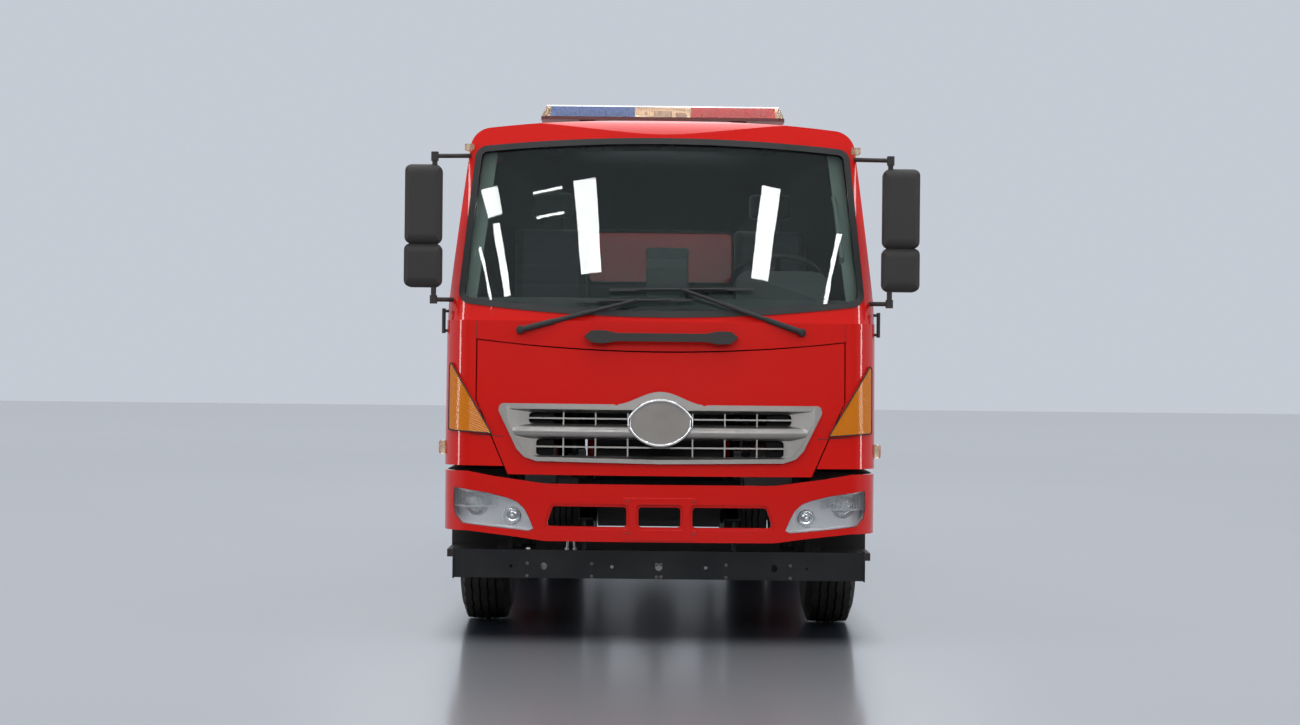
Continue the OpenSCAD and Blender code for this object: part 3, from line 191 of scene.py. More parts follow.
def make_ribs():
    """Evenly spaced rounded ribs across one direction, for moulded lenses."""
    tree, given, result = group("lens_ribs", [
        ("Along", "Vector", (1.0, 0.0, 0.0)), ("Pitch", "Float", 0.008), ("Depth", "Float", 0.001)],
        [("Normal", "Vector"), ("Mask", "Float")])
    run = add(tree, "VectorMath", {"operation": "DOT_PRODUCT"})
    put(tree, run.inputs[0], place(tree))
    put(tree, run.inputs[1], given["Along"])
    turns = math_node(tree, "DIVIDE", math_node(tree, "MULTIPLY", run.outputs["Value"], math.tau),
                      given["Pitch"])
    wave = math_node(tree, "ABSOLUTE", math_node(tree, "SINE", math_node(tree, "MULTIPLY", turns, 0.5)))
    bump = add(tree, "Bump", None, Strength=0.7, Distance=given["Depth"], Height=wave)
    tree.links.new(bump.outputs[0], result["Normal"])
    tree.links.new(wave, result["Mask"])
    return tree


GRAIN = make_grain()
FILM = make_film()
BRUSHING = make_brushing()
RIBS = make_ribs()


# Materials
def material(name, **plain):
    """A material with plain values on its Principled BSDF. Returns it, its tree and its sockets."""
    made = bpy.data.materials.new(name)
    made.use_nodes = True
    sockets = made.node_tree.nodes["Principled BSDF"].inputs
    for key, value in plain.items():
        sockets[key.replace("_", " ")].default_value = value
    return made, made.node_tree, sockets


def rgb(red, green, blue):
    """A colour with full alpha."""
    return (red, green, blue, 1.0)


def shaded(colour, share):
    """A darker shade of a colour."""
    return tuple(share * part for part in colour[:3]) + (1.0,)


def dusty(name, colour, dust, amount, rough, grain=(700.0, 0.2, 0.0005), scale=4.0, **plain):
    """A plain finish with a film of dust and its own grain."""
    made, tree, sockets = material(name, **plain)
    film = use(tree, FILM, Color=colour, Dust=dust, Amount=amount, Scale=scale, Roughness=rough)
    put(tree, sockets["Base Color"], film["Color"])
    put(tree, sockets["Roughness"], film["Roughness"])
    size, strength, depth = grain
    put(tree, sockets["Normal"], use(tree, GRAIN, Scale=size, Strength=strength, Depth=depth)["Normal"])
    return made


def truck_paint(name="fire_red_paint"):
    """Two-coat fire red, glossy under a clear coat."""
    return dusty(name, rgb(0.62, 0.006, 0.003), rgb(0.55, 0.03, 0.02), 0.2, 0.35, (420.0, 0.06, 0.0004), 1.3,
                 Specular_IOR_Level=0.1, Coat_Weight=1.0, Coat_Roughness=0.03)


def shell_paint():
    """The cab shell's red, with painted shade behind the front lid and under the floor."""
    made = truck_paint("shell_paint")
    tree, sockets = made.node_tree, made.node_tree.nodes["Principled BSDF"].inputs
    flat = add(tree, "SeparateXYZ", None, Vector=place(tree))
    across_x, y, z = (flat.outputs[key] for key in "XYZ")
    face_y = math_node(tree, "MULTIPLY_ADD", z, FACE_LEAN, BUMPER_Y + FACE_S - FACE_FOOT * FACE_LEAN)
    bow = math_node(tree, "MULTIPLY", math_node(tree, "MULTIPLY", across_x, across_x), 0.5 / BOW_R)
    depth = math_node(tree, "SUBTRACT", math_node(tree, "SUBTRACT", y, face_y), bow)
    side = math_node(tree, "ABSOLUTE", across_x)
    # Painted shade: in these zones, behind the front lid and under the cab floor, the red shell is painted dark
    # and loses its clear coat.
    tests = [
        # value, limit, below it
        [(depth, 0.038, False), (y, BUMPER_Y + 0.45, True), (z, 1.56, True), (side, 0.95, True)],
        [(y, BUMPER_Y + 0.24, False), (z, 1.21, True), (side, 1.07, True)],
    ]
    zones = []
    for zone in tests:
        held = 1.0
        for value, limit, below in zone:
            step = math_node(tree, "LESS_THAN" if below else "GREATER_THAN", value, limit)
            held = math_node(tree, "MULTIPLY", step, held)
        zones.append(held)
    painted_shade = math_node(tree, "MAXIMUM", *zones)
    red = sockets["Base Color"].links[0].from_socket
    put(tree, sockets["Base Color"], mix_colour(tree, painted_shade, red, rgb(0.006, 0.006, 0.007)))
    put(tree, sockets["Coat Weight"], math_node(tree, "SUBTRACT", 1.0, painted_shade))
    return made


def brushed(name, colour, stretch, rough):
    """Drawn aluminium with its lines along one direction."""
    made, tree, sockets = material(name, Metallic=0.9)
    lines = use(tree, BRUSHING, Color=colour, Stretch=stretch, Roughness=rough)
    for key in ("Color", "Roughness", "Normal"):
        put(tree, sockets["Base Color" if key == "Color" else key], lines[key])
    return made


def clear_glass(name, colour, rough=0.0, **plain):
    """Thin glass that shows what is behind it, with faint waves."""
    made, tree, sockets = material(name, Roughness=rough, Transmission_Weight=1.0, IOR=1.45, **plain)
    wave = add(tree, "TexNoise", None, Vector=place(tree), Scale=1.7, Detail=1.0)
    tint = mix_colour(tree, remap(tree, wave.outputs["Fac"], 0.3, 0.7), colour, shaded(colour, 0.96))
    put(tree, sockets["Base Color"], tint)
    return made


def ribbed_lens(name, colour, along, pitch, depth=0.001, **plain):
    """A moulded lamp lens with ribs on it, and painted shade in the grooves between them."""
    made, tree, sockets = material(name, Roughness=0.10, IOR=1.49, Coat_Weight=0.2, Coat_Roughness=0.05,
                                   **plain)
    ribs = use(tree, RIBS, Along=along, Pitch=pitch, Depth=depth)
    # Painted shade: the lens colour is darker in the grooves between the ribs than on their crests.
    put(tree, sockets["Base Color"], mix_colour(tree, ribs["Mask"], shaded(colour, 0.75), colour))
    put(tree, sockets["Normal"], ribs["Normal"])
    return made


def metal(name, colour, rough, grain=(300.0, 0.05, 0.0003)):
    """Bright or plated metal with a slightly uneven surface."""
    return dusty(name, colour, shaded(colour, 0.8), 0.5, rough, grain, 7.0, Metallic=1.0)


def seat_cloth():
    """Dark woven seat centres between plain trimmed sides."""
    made, tree, sockets = material("seat_cloth", Sheen_Weight=0.3, Sheen_Roughness=0.5)
    at_place = place(tree)
    weave = add(tree, "TexChecker", None, Vector=at_place, Scale=260.0)
    flat = add(tree, "SeparateXYZ", None, Vector=at_place)
    off_middle = math_node(tree, "PINGPONG", flat.outputs["X"], 0.32)
    centre = remap(tree, off_middle, 0.165, 0.160)
    thread = mix_colour(tree, weave.outputs["Fac"], rgb(0.030, 0.036, 0.040), rgb(0.052, 0.058, 0.060))
    film = use(tree, FILM, Color=mix_colour(tree, centre, rgb(0.026, 0.028, 0.029), thread),
               Dust=rgb(0.10, 0.10, 0.095), Amount=0.15, Scale=6.0, Roughness=0.75)
    put(tree, sockets["Base Color"], film["Color"])
    put(tree, sockets["Roughness"], film["Roughness"])
    bump = add(tree, "Bump", None, Strength=0.25, Distance=0.0006,
               Height=math_node(tree, "MULTIPLY", weave.outputs["Fac"], centre),
               Normal=use(tree, GRAIN, Scale=900.0, Strength=0.2, Depth=0.0005)["Normal"])
    put(tree, sockets["Normal"], bump.outputs[0])
    return made


def tread_plate():
    """Aluminium plate with a raised diamond pattern."""
    made, tree, sockets = material("tread_plate", Metallic=1.0, Roughness=0.34)
    put(tree, sockets["Base Color"], rgb(0.55, 0.56, 0.57))
    spot = add(tree, "SeparateXYZ", None, Vector=place(tree))
    waves = []
    for way in ("ADD", "SUBTRACT"):
        slanted = math_node(tree, way, spot.outputs["X"], spot.outputs["Y"])
        waves.append(math_node(tree, "SINE", math_node(tree, "MULTIPLY", slanted, 150.0)))
    raised = remap(tree, math_node(tree, "MULTIPLY", *waves), 0.35, 0.65)
    bump = add(tree, "Bump", None, Height=raised, Strength=0.6, Distance=0.002)
    put(tree, sockets["Normal"], bump.outputs["Normal"])
    return made


FIRE_RED = truck_paint()
SHELL_RED_WITH_PAINTED_SHADE = shell_paint()
CHASSIS_BLACK = dusty("chassis_black", rgb(0.006, 0.0075, 0.010), rgb(0.06, 0.056, 0.05), 0.22, 0.42,
                      (500.0, 0.25, 0.0006), Specular_IOR_Level=0.35)
AXLE_GREY = dusty("cast_axle_grey", rgb(0.05, 0.05, 0.052), rgb(0.16, 0.14, 0.12), 0.6, 0.6,
                  (260.0, 0.6, 0.002))
CHARCOAL = dusty("charcoal_plastic", rgb(0.034, 0.031, 0.030), rgb(0.10, 0.095, 0.09), 0.15, 0.55,
                 (1500.0, 0.45, 0.0006), Specular_IOR_Level=0.3)
BLACK_RUBBER = dusty("black_rubber", rgb(0.014, 0.014, 0.015), rgb(0.08, 0.08, 0.08), 0.25, 0.55)
CAB_LINING = dusty("cab_lining", rgb(0.032, 0.040, 0.040), rgb(0.085, 0.095, 0.09), 0.2, 0.6,
                   (1100.0, 0.4, 0.0006))
SPRING_STEEL = dusty("spring_steel", rgb(0.09, 0.09, 0.095), rgb(0.2, 0.17, 0.14), 0.5, 0.5,
                     (400.0, 0.4, 0.001), Metallic=0.4)
TANK_ALUMINIUM = brushed("tank_aluminium", rgb(0.62, 0.63, 0.64), (900.0, 5.0, 5.0), 0.34)
SHUTTER_ALUMINIUM = brushed("shutter_aluminium", rgb(0.66, 0.67, 0.68), (900.0, 4.0, 900.0), 0.3)
LADDER_ALUMINIUM = brushed("ladder_aluminium", rgb(0.7, 0.71, 0.72), (700.0, 6.0, 700.0), 0.36)
GRILLE_SILVER = metal("grille_silver", rgb(0.41, 0.395, 0.38), 0.36, (900.0, 0.2, 0.0003))
RIM_SILVER = dusty("rim_silver", rgb(0.55, 0.56, 0.57), rgb(0.3, 0.27, 0.24), 0.35, 0.36,
                   (500.0, 0.15, 0.0004), Metallic=0.35, Coat_Weight=0.4, Coat_Roughness=0.12)
CHROME = metal("chrome", rgb(0.82, 0.83, 0.84), 0.06)
LAMP_SILVER = dusty("lamp_silver", rgb(0.88, 0.88, 0.90), rgb(0.75, 0.75, 0.75), 0.1, 0.3, Metallic=0.45)
MIRROR = metal("mirror_silvering", rgb(0.86, 0.88, 0.88), 0.02, (60.0, 0.02, 0.0002))
TYRE = dusty("tyre_compound", rgb(0.021, 0.021, 0.022), rgb(0.12, 0.105, 0.085), 0.55, 0.62,
             (1200.0, 0.3, 0.0004), 9.0, Specular_IOR_Level=0.35)
WINDOW = clear_glass("window_glass", rgb(0.84, 0.92, 0.89))
LAMP_GLASS = clear_glass("lamp_glass", rgb(0.97, 0.98, 0.98))
BLUE_LENS, RED_LENS, CLEAR_LENS, AMBER_LENS = (
    ribbed_lens(name + "_lens", colour, along, pitch, Transmission_Weight=clearness)
    for name, colour, along, pitch, clearness in (
        ("blue", rgb(0.10, 0.26, 0.66), (1.0, 0.0, 0.0), 0.012, 0.75),
        ("red", rgb(0.85, 0.02, 0.012), (1.0, 0.0, 0.0), 0.012, 0.6),
        ("clear", rgb(0.94, 0.76, 0.54), (1.0, 0.0, 0.0), 0.015, 0.8),
        ("amber", rgb(0.95, 0.30, 0.012), (0.4, 0.0, 1.0), 0.012, 0.35)))
SEAT_CLOTH = seat_cloth()
MODULE_FACE = dusty("module_face", rgb(0.78, 0.66, 0.68), rgb(0.5, 0.45, 0.45), 0.3, 0.3,
                    (900.0, 0.2, 0.0003))
MODULE_LAMP = dusty("module_lamp", rgb(0.9, 0.82, 0.84), rgb(0.7, 0.65, 0.65), 0.2, 0.12,
                    (600.0, 0.1, 0.0002), Coat_Weight=0.8, Coat_Roughness=0.03)
BAR_BASE = dusty("light_bar_base_brown", rgb(0.10, 0.010, 0.009), rgb(0.12, 0.05, 0.04), 0.2, 0.35)
PILLAR_TRIM = dusty("pillar_trim", rgb(0.17, 0.215, 0.19), rgb(0.22, 0.25, 0.23), 0.2, 0.5,
                    (1100.0, 0.3, 0.0005))
TREAD_PLATE = tread_plate()
SLAT_GREY = metal("slat_grey", rgb(0.46, 0.45, 0.43), 0.4)
PLATE_GREY = metal("plate_grey", rgb(0.30, 0.285, 0.27), 0.42, (900.0, 0.25, 0.0003))
BOLT_STEEL = dusty("bolt_steel", rgb(0.10, 0.10, 0.105), rgb(0.18, 0.16, 0.14), 0.4, 0.42, (700.0, 0.2, 0.0003),
                   Metallic=0.7)

FINISHES = {
    FIRE_RED: ["bumper", "fire_body", "monitor_base", "monitor_turret", "monitor_barrel", "front_lid",
               "door_left", "door_right"],
    SHELL_RED_WITH_PAINTED_SHADE: ["cab_shell"],
    BAR_BASE: ["light_bar_base"],
    CHASSIS_BLACK: ["frame_rails", "front_underrun_bar", "radiator"],
    AXLE_GREY: ["engine_block", "front_axle", "rear_axle", "prop_shaft", "exhaust", "knuckle_left",
                "knuckle_right", "tie_rod"],
    SPRING_STEEL: ["leaf_springs"],
    TANK_ALUMINIUM: ["chassis_tanks"],
    SHUTTER_ALUMINIUM: ["roller_shutters"],
    LADDER_ALUMINIUM: ["ladders"],
    CHARCOAL: ["front_wings", "mirrors", "front_handle", "steering_wheel"],
    BLACK_RUBBER: ["window_seals", "wipers"],
    CAB_LINING: ["dashboard", "seats"],
    GRILLE_SILVER: ["grille"],
    RIM_SILVER: ["front_rim_left", "front_rim_right", "rear_rims_left", "rear_rims_right"],
    CHROME: ["headlamps"],
    MIRROR: ["mirror_glasses"],
    TYRE: ["front_tyre_left", "front_tyre_right", "rear_tyres_left", "rear_tyres_right"],
    WINDOW: ["cab_windows", "door_glass_left", "door_glass_right"],
    LAMP_GLASS: ["headlamp_lenses"],
    BLUE_LENS: ["light_bar_blue"],
    RED_LENS: ["light_bar_red", "rear_lamps"],
    CLEAR_LENS: ["light_bar_clear", "marker_lamps"],
    AMBER_LENS: ["turn_lamps"],
}
for finish, names in FINISHES.items():
    for name in names:
        truck[name].data.materials.clear()
        truck[name].data.materials.append(finish)


# Modelling helpers
def piece(name, shape, finish, body, smooth_angle=35, crisp=False):
    """Turns a bmesh into a finished piece that rides on a body, with flat faces kept flat if it is crisp."""
    bmesh.ops.remove_doubles(shape, verts=shape.verts, dist=0.00002)
    bmesh.ops.recalc_face_normals(shape, faces=shape.faces)
    mesh = bpy.data.meshes.new(name)
    shape.to_mesh(mesh)
    shape.free()
    mesh.materials.append(finish)
    mesh.shade_smooth()
    made = bpy.data.objects.new(name, mesh)
    bpy.context.scene.collection.objects.link(made)
    mesh.set_sharp_from_angle(angle=math.radians(smooth_angle))
    if crisp:
        made.modifiers.new("flat_faces", "WEIGHTED_NORMAL").keep_sharp = True
    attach(made, body)
    return made


def spun(shape, outline, steps, turn=math.tau, axis=(1, 0, 0), centre=(0, 0, 0)):
    """Spins an outline of points about an axis. Returns the new faces."""
    before = set(shape.faces)
    verts = [shape.verts.new(p) for p in outline]
    edges = [shape.edges.new(pair) for pair in zip(verts, verts[1:])]
    bmesh.ops.spin(shape, geom=verts + edges, cent=centre, axis=axis, angle=turn, steps=steps,
                   use_merge=abs(turn - math.tau) < 1e-6)
    return [face for face in shape.faces if face not in before]


def at(x, s, z):
    """A place given in metres from the truck's middle plane, its bumper's front and the ground."""
    return Vector((x, BUMPER_Y + s, z))


def bow_at(x):
    """How far the cab's front falls back at a place across it."""
    return BOW_R - math.sqrt(BOW_R * BOW_R - x * x)


def face_s(z):
    """Station of the front panel's middle at a height."""
    return FACE_S + (z - FACE_FOOT) * FACE_LEAN


def screen_s(z):
    """Station of the windscreen's middle at a height."""
    return SCREEN_S + (z - SCREEN_FOOT) * SCREEN_LEAN


def on_face(x, z, proud):
    """A place that stands out from the front panel."""
    return at(x, face_s(z) + bow_at(x) - proud, z)


def on_screen(x, z, proud):
    """A place that stands out from the windscreen."""
    return at(x, screen_s(z) + bow_at(x) - proud, z)


def soft_block(shape, low, high, radius, segments=2):
    """A block between two places, with its edges rounded."""
    low, high = at(*low), at(*high)
    verts = bmesh.ops.create_cube(shape, size=1.0)["verts"]
    bmesh.ops.scale(shape, vec=high - low, verts=verts)
    bmesh.ops.translate(shape, vec=(low + high) / 2, verts=verts)
    edges = list({edge for vert in verts for edge in vert.link_edges})
    bmesh.ops.bevel(shape, geom=edges, offset=radius, segments=segments, profile=0.5, affect="EDGES",
                    material=-1)


def side_block(shape, side, out, along, up, radius, segments=2):
    """A soft block on one side, given by its reach out from the middle, its stations and its heights."""
    low, high = sorted(side * x for x in out)
    soft_block(shape, (low, along[0], up[0]), (high, along[1], up[1]), radius, segments)


def boss(shape, foot, axis, radius, height, sides=24, top=None, edge=0.0):
    """A round or many-sided boss that stands on a face along an axis."""
    out = Vector(axis).normalized()
    turn = out.to_track_quat("Z", "Y").to_matrix().to_4x4()
    seat = Matrix.Translation(foot + out * height / 2) @ turn
    verts = bmesh.ops.create_cone(shape, cap_ends=True, cap_tris=False, segments=sides, radius1=radius,
                                  radius2=radius if top is None else top, depth=height, matrix=seat)["verts"]
    if edge:
        rim = [e for e in {e for v in verts for e in v.link_edges}
               if all((v.co - foot).dot(out) > height * 0.99 for v in e.verts)]
        bmesh.ops.bevel(shape, geom=rim, offset=edge, segments=2, profile=0.5, affect="EDGES", material=-1)


def bolt(shape, foot, axis, size):
    """A hexagon bolt head on its washer."""
    boss(shape, foot, axis, size * 1.15, size * 0.22)
    boss(shape, foot + Vector(axis).normalized() * size * 0.22, axis, size, size * 0.7, 6, edge=size * 0.12)


def swept(shape, points, radius, closed=False, sides=3):
    """A round bar along a path."""
    curve = bpy.data.curves.new("path", "CURVE")
    curve.dimensions = "3D"
    curve.bevel_resolution = sides
    curve.bevel_depth = radius
    curve.use_fill_caps = not closed
    line = curve.splines.new("POLY")
    line.points.add(len(points) - 1)
    for point, spot in zip(line.points, points):
        point.co = (*spot, 1.0)
    line.use_cyclic_u = closed
    path = bpy.data.objects.new("path", curve)
    mesh = bpy.data.meshes.new_from_object(path)
    shape.from_mesh(mesh)
    bpy.data.objects.remove(path)
    bpy.data.meshes.remove(mesh)


def merged(node):
    """A copy of a CAD node's mesh with its corners joined."""
    shape = bmesh.new()
    shape.from_mesh(truck[node].data)
    bmesh.ops.remove_doubles(shape, verts=shape.verts, dist=0.00005)
    shape.normal_update()
    return shape


def rims(node, facing, least=0.6, where=None):
    """Closed paths round those faces of a node that look one way."""
    shape = merged(node)
    facing = Vector(facing)
    chosen = {face for face in shape.faces if face.normal.dot(facing) > least
              and (where is None or where(face.calc_center_median()))}
    borders = {edge for edge in shape.edges if sum(face in chosen for face in edge.link_faces) == 1}
    paths = []
    while borders:
        edge = borders.pop()
        start, here = edge.verts
        path = [start.co.copy(), here.co.copy()]
        while here != start:
            onward = next((e for e in here.link_edges if e in borders), None)
            if onward is None:
                break
            borders.remove(onward)
            here = onward.other_vert(here)
            if here != start:
                path.append(here.co.copy())
        if len(path) > 3:
            paths.append(path)
    shape.free()
    return paths


def evened(path, pitch, closed=True):
    """The same path with its places evenly spaced."""
    ring = path + [path[0]] if closed else path
    lengths = [(b - a).length for a, b in zip(ring, ring[1:])]
    steps = max(8, round(sum(lengths) / pitch))
    spots, i, passed = [], 0, 0.0
    for k in range(steps if closed else steps + 1):
        target = min(sum(lengths) * k / steps, sum(lengths) - 1e-9)
        while passed + lengths[i] < target:
            passed += lengths[i]
            i += 1
        spots.append(ring[i].lerp(ring[i + 1], (target - passed) / lengths[i]))
    return spots


def mirrored(shape):
    """Adds a shape's other half across the truck's middle plane."""
    bmesh.ops.mirror(shape, geom=shape.verts[:] + shape.edges[:] + shape.faces[:], axis="X", merge_dist=-1)


def solid_between(ring, other):
    """A closed solid between two matching closed outlines."""
    shape = bmesh.new()
    a, b = ([shape.verts.new(spot) for spot in spots] for spots in (ring, other))
    shape.faces.new(a)
    shape.faces.new(b[::-1])
    for k in range(len(a)):
        shape.faces.new((a[k - 1], a[k], b[k], b[k - 1]))
    bmesh.ops.recalc_face_normals(shape, faces=shape.faces)
    return shape


def prism(outline, s0=-0.2, s1=0.4):
    """An outline of (x, z) drawn along the truck between two stations."""
    return solid_between([at(x, s0, z) for x, z in outline], [at(x, s1, z) for x, z in outline])


def bowed(radius, front, x0, x1, pitch=0.03):
    """Plan of a bowed front between two places across it: x, station, and the way out of its face."""
    steps = max(1, math.ceil((x1 - x0) / pitch))
    turns = [math.asin((x0 + (x1 - x0) * k / steps) / radius) for k in range(steps + 1)]
    return [(radius * math.sin(t), front + radius - radius * math.cos(t), math.sin(t), -math.cos(t))
            for t in turns]


def both_ways(plan):
    """A plan that starts in the middle, with its other half."""
    return [(-x, s, -out, ahead) for x, s, out, ahead in plan[:0:-1]] + plan


def band(proud, inset, low, high):
    """Profile of a layer of a front: how far it stands out and reaches in, and its heights."""
    return [(proud, low), (proud, high), (-inset, high), (-inset, low)]


def run(plan, profile, lean=0.0, foot=0.0):
    """A profile of (proud, z) carried along a plan, leaning back above its foot."""
    shape = bmesh.new()
    rows = [[shape.verts.new(at(x + out * proud, s + ahead * proud + (z - foot) * lean, z))
             for proud, z in profile] for x, s, out, ahead in plan]
    for a, b in zip(rows, rows[1:]):
        for k in range(len(profile)):
            shape.faces.new((a[k - 1], a[k], b[k], b[k - 1]))
    shape.faces.new(rows[0])
    shape.faces.new(rows[-1][::-1])
    bmesh.ops.recalc_face_normals(shape, faces=shape.faces)
    return shape


def carved(shape, other, operation="DIFFERENCE"):
    """A shape after a boolean with another one. Both are used up."""
    parts = []
    for part in (shape, other):
        mesh = bpy.data.meshes.new("carving")
        part.to_mesh(mesh)
        part.free()
        parts.append(bpy.data.objects.new("carving", mesh))
        bpy.context.scene.collection.objects.link(parts[-1])
    cut = parts[0].modifiers.new("cut", "BOOLEAN")
    cut.operation, cut.object, cut.solver = operation, parts[1], "EXACT"
    result = bmesh.new()
    result.from_mesh(parts[0].evaluated_get(bpy.context.evaluated_depsgraph_get()).to_mesh())
    for part in parts:
        mesh = part.data
        bpy.data.objects.remove(part)
        bpy.data.meshes.remove(mesh)
    return result


def joined(*shapes):
    """Several shapes in one, side by side."""
    for other in shapes[1:]:
        add_turned(shapes[0], other, Matrix())
        other.free()
    return shapes[0]


def softened(shape, width, least=50):
    """Rounds a shape's sharp edges."""
    bmesh.ops.remove_doubles(shape, verts=shape.verts, dist=0.00005)
    bmesh.ops.dissolve_limit(shape, angle_limit=math.radians(0.02), verts=shape.verts, edges=shape.edges)
    sharp = [edge for edge in shape.edges if len(edge.link_faces) == 2
             and edge.calc_face_angle(0.0) > math.radians(least)]
    bmesh.ops.bevel(shape, geom=sharp, offset=width, segments=2, profile=0.5, affect="EDGES",
                    clamp_overlap=True, material=-1)
    return shape


def grown(outline, by):
    """A closed outline, drawn anticlockwise, moved outwards all round."""
    moved = []
    for k, here in enumerate(outline):
        ways = []
        for a, b in ((outline[k - 1], here), (here, outline[(k + 1) % len(outline)])):
            run_x, run_z = b[0] - a[0], b[1] - a[1]
            length = math.hypot(run_x, run_z)
            ways.append((run_z / length, -run_x / length))
        share = by / (1 + ways[0][0] * ways[1][0] + ways[0][1] * ways[1][1])
        moved.append((here[0] + share * (ways[0][0] + ways[1][0]), here[1] + share * (ways[0][1] + ways[1][1])))
    return moved


def rounded(outline, radius, steps=5):
    """A closed outline with its corners rounded, each as far as its sides allow."""
    smooth = []
    for k, corner in enumerate(outline):
        before, after = outline[k - 1], outline[(k + 1) % len(outline)]
        sides = [(p[0] - corner[0], p[1] - corner[1]) for p in (before, after)]
        lengths = [math.hypot(*side) for side in sides]
        cosine = sum(a * b for a, b in zip(*sides)) / (lengths[0] * lengths[1])
        if cosine < -0.97:
            smooth.append(corner)
            continue
        half_turn = math.acos(max(-1.0, min(1.0, cosine))) / 2
        cut = min(radius / math.tan(half_turn), 0.45 * min(lengths))
        a, b = ((corner[0] + side[0] * cut / length, corner[1] + side[1] * cut / length)
                for side, length in zip(sides, lengths))
        for i in range(steps + 1):
            u = i / steps
            smooth.append(tuple((1 - u) ** 2 * p + 2 * u * (1 - u) * q + u * u * r
                                for p, q, r in zip(a, corner, b)))
    return smooth


def across(half):
    """A half outline of (x, z) on the right, from its foot up to its top, with its other half."""
    return half + [(-x, z) for x, z in half[::-1]]


# Tyres
GROOVES = (-0.066, -0.022, 0.022, 0.066)
GROOVE_HALF = 0.0055
GROOVE_DEPTH = 0.014
TREAD_HALF = 0.104
CROWN_R = 0.9
TYRE_WALL = [
    # radius, half width, from the bead out to the shoulder
    (0.2545, 0.080), (0.262, 0.090), (0.2765, 0.100), (0.282, 0.109), (0.292, 0.1155), (0.300, 0.1165),
    (0.303, 0.1195), (0.312, 0.1215), (0.316, 0.1215), (0.345, 0.1305), (0.375, 0.1365), (0.400, 0.1385),
    (0.425, 0.1375), (0.445, 0.1345), (0.447, 0.1355), (0.452, 0.1345), (0.454, 0.1325), (0.470, 0.1265),
    (0.480, 0.1225), (0.4815, 0.1235), (0.4855, 0.1215), (0.487, 0.1185), (0.500, 0.1135), (0.512, 0.1085),
]
TYRE_STEPS = 120
ZIGZAG = 0.0022
# Notches on the shoulder: distances from the tyre's middle between which they lie, least radius, inset, depth
NOTCH_BAND = (0.1055, 0.1135)
NOTCH_LEAST_R = 0.5
NOTCH = (0.002, -0.004)


def tread_outline():
    """Radius and place of each point across the tread, from one shoulder to the other."""
    def crown(x):
        """Radius of the tread's arched face at a distance from its middle."""
        return TYRE_R - x * x / (2 * CROWN_R)
    points = [(crown(TREAD_HALF), -TREAD_HALF)]
    for groove in GROOVES:
        for side in (-1, 1):
            edge = groove + side * GROOVE_HALF
            floor = groove + side * (GROOVE_HALF - 0.0015)
            pair = [(crown(edge), edge), (crown(floor) - GROOVE_DEPTH, floor)]
            points.extend(pair if side < 0 else reversed(pair))
    points.append((crown(TREAD_HALF), TREAD_HALF))
    return points


def tyre_shape(shape, x, y):
    """One tyre's shell about its axle: walls with ridges, ribs with zigzag edges, notched shoulders."""
    loop = [(r, -w) for r, w in TYRE_WALL] + tread_outline() + [(r, w) for r, w in reversed(TYRE_WALL)]
    loop.append(loop[0])
    faces = spun(shape, [(x + w, y, HUB_Z + r) for r, w in loop], TYRE_STEPS, centre=(x, y, HUB_Z))
    verts = {vert for face in faces for vert in face.verts}
    step = math.tau / TYRE_STEPS
    for vert in verts:
        radius = math.hypot(vert.co.y - y, vert.co.z - HUB_Z)
        turn = round(math.atan2(vert.co.y - y, vert.co.z - HUB_Z) / step)
        if radius > TYRE_R - 2 * GROOVE_DEPTH and abs(vert.co.x - x) < TREAD_HALF - 0.01:
            vert.co.x += ZIGZAG * (1 if turn % 4 in (0, 1) else -1)
    shoulder = []
    for face in faces:
        middle = face.calc_center_median()
        radius = math.hypot(middle.y - y, middle.z - HUB_Z)
        turn = math.floor(math.atan2(middle.y - y, middle.z - HUB_Z) / step)
        if NOTCH_BAND[0] < abs(middle.x - x) < NOTCH_BAND[1] and radius > NOTCH_LEAST_R and turn % 3 == 0:
            shoulder.append(face)
    bmesh.ops.inset_individual(shape, faces=shoulder, thickness=NOTCH[0], depth=NOTCH[1])


def make_tyres():
    """Front and rear tyres, each set in place of its plain solids."""
    front_x = (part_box("front_tyre_left")[0][0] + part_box("front_tyre_left")[1][0]) / 2
    low, high = (corner[0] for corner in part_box("rear_tyres_left"))
    half_width = (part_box("front_tyre_left")[1][0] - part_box("front_tyre_left")[0][0]) / 2
    for side, sign in SIDES.items():
        sets = {
            "front_tyre_": ([front_x], FRONT_AXLE_Y, "wheel_front_"),
            "rear_tyres_": ([low + half_width, high - half_width], REAR_AXLE_Y, "wheel_rear_"),
        }
        for node, (middles, y, body) in sets.items():
            shape = bmesh.new()
            for middle in middles:
                tyre_shape(shape, sign * middle, y)
            made = piece("road_" + node + side, shape, TYRE, body + side, smooth_angle=28)
            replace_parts(made, node + side)


make_tyres()


# Cab lining
CAB_BACK = 1.79
FLOOR_Z = 1.24
HUMP = (0.43, 1.44)
LINING_T = 0.003
# Radii of the cab's corners: pillars, eaves, over the windscreen, and at the roof's back edge
PILLAR_R, EAVE_R, BROW_R, TAIL_R = 0.17, 0.12, 0.19, 0.09
# A face is inside from this depth on, and a window's reveal lies in this band and outside these stations
INSIDE_DEPTH = 0.066
REVEAL_DEPTH = (0.01, 0.058)
REVEAL_S = (0.62, 1.70)
REVEAL_HALF = 1.09


def rounded_depth(a, b, radius):
    """Depth behind two faces that meet at a round corner."""
    if a > radius or b > radius:
        return min(a, b)
    return radius - math.hypot(radius - a, radius - b)


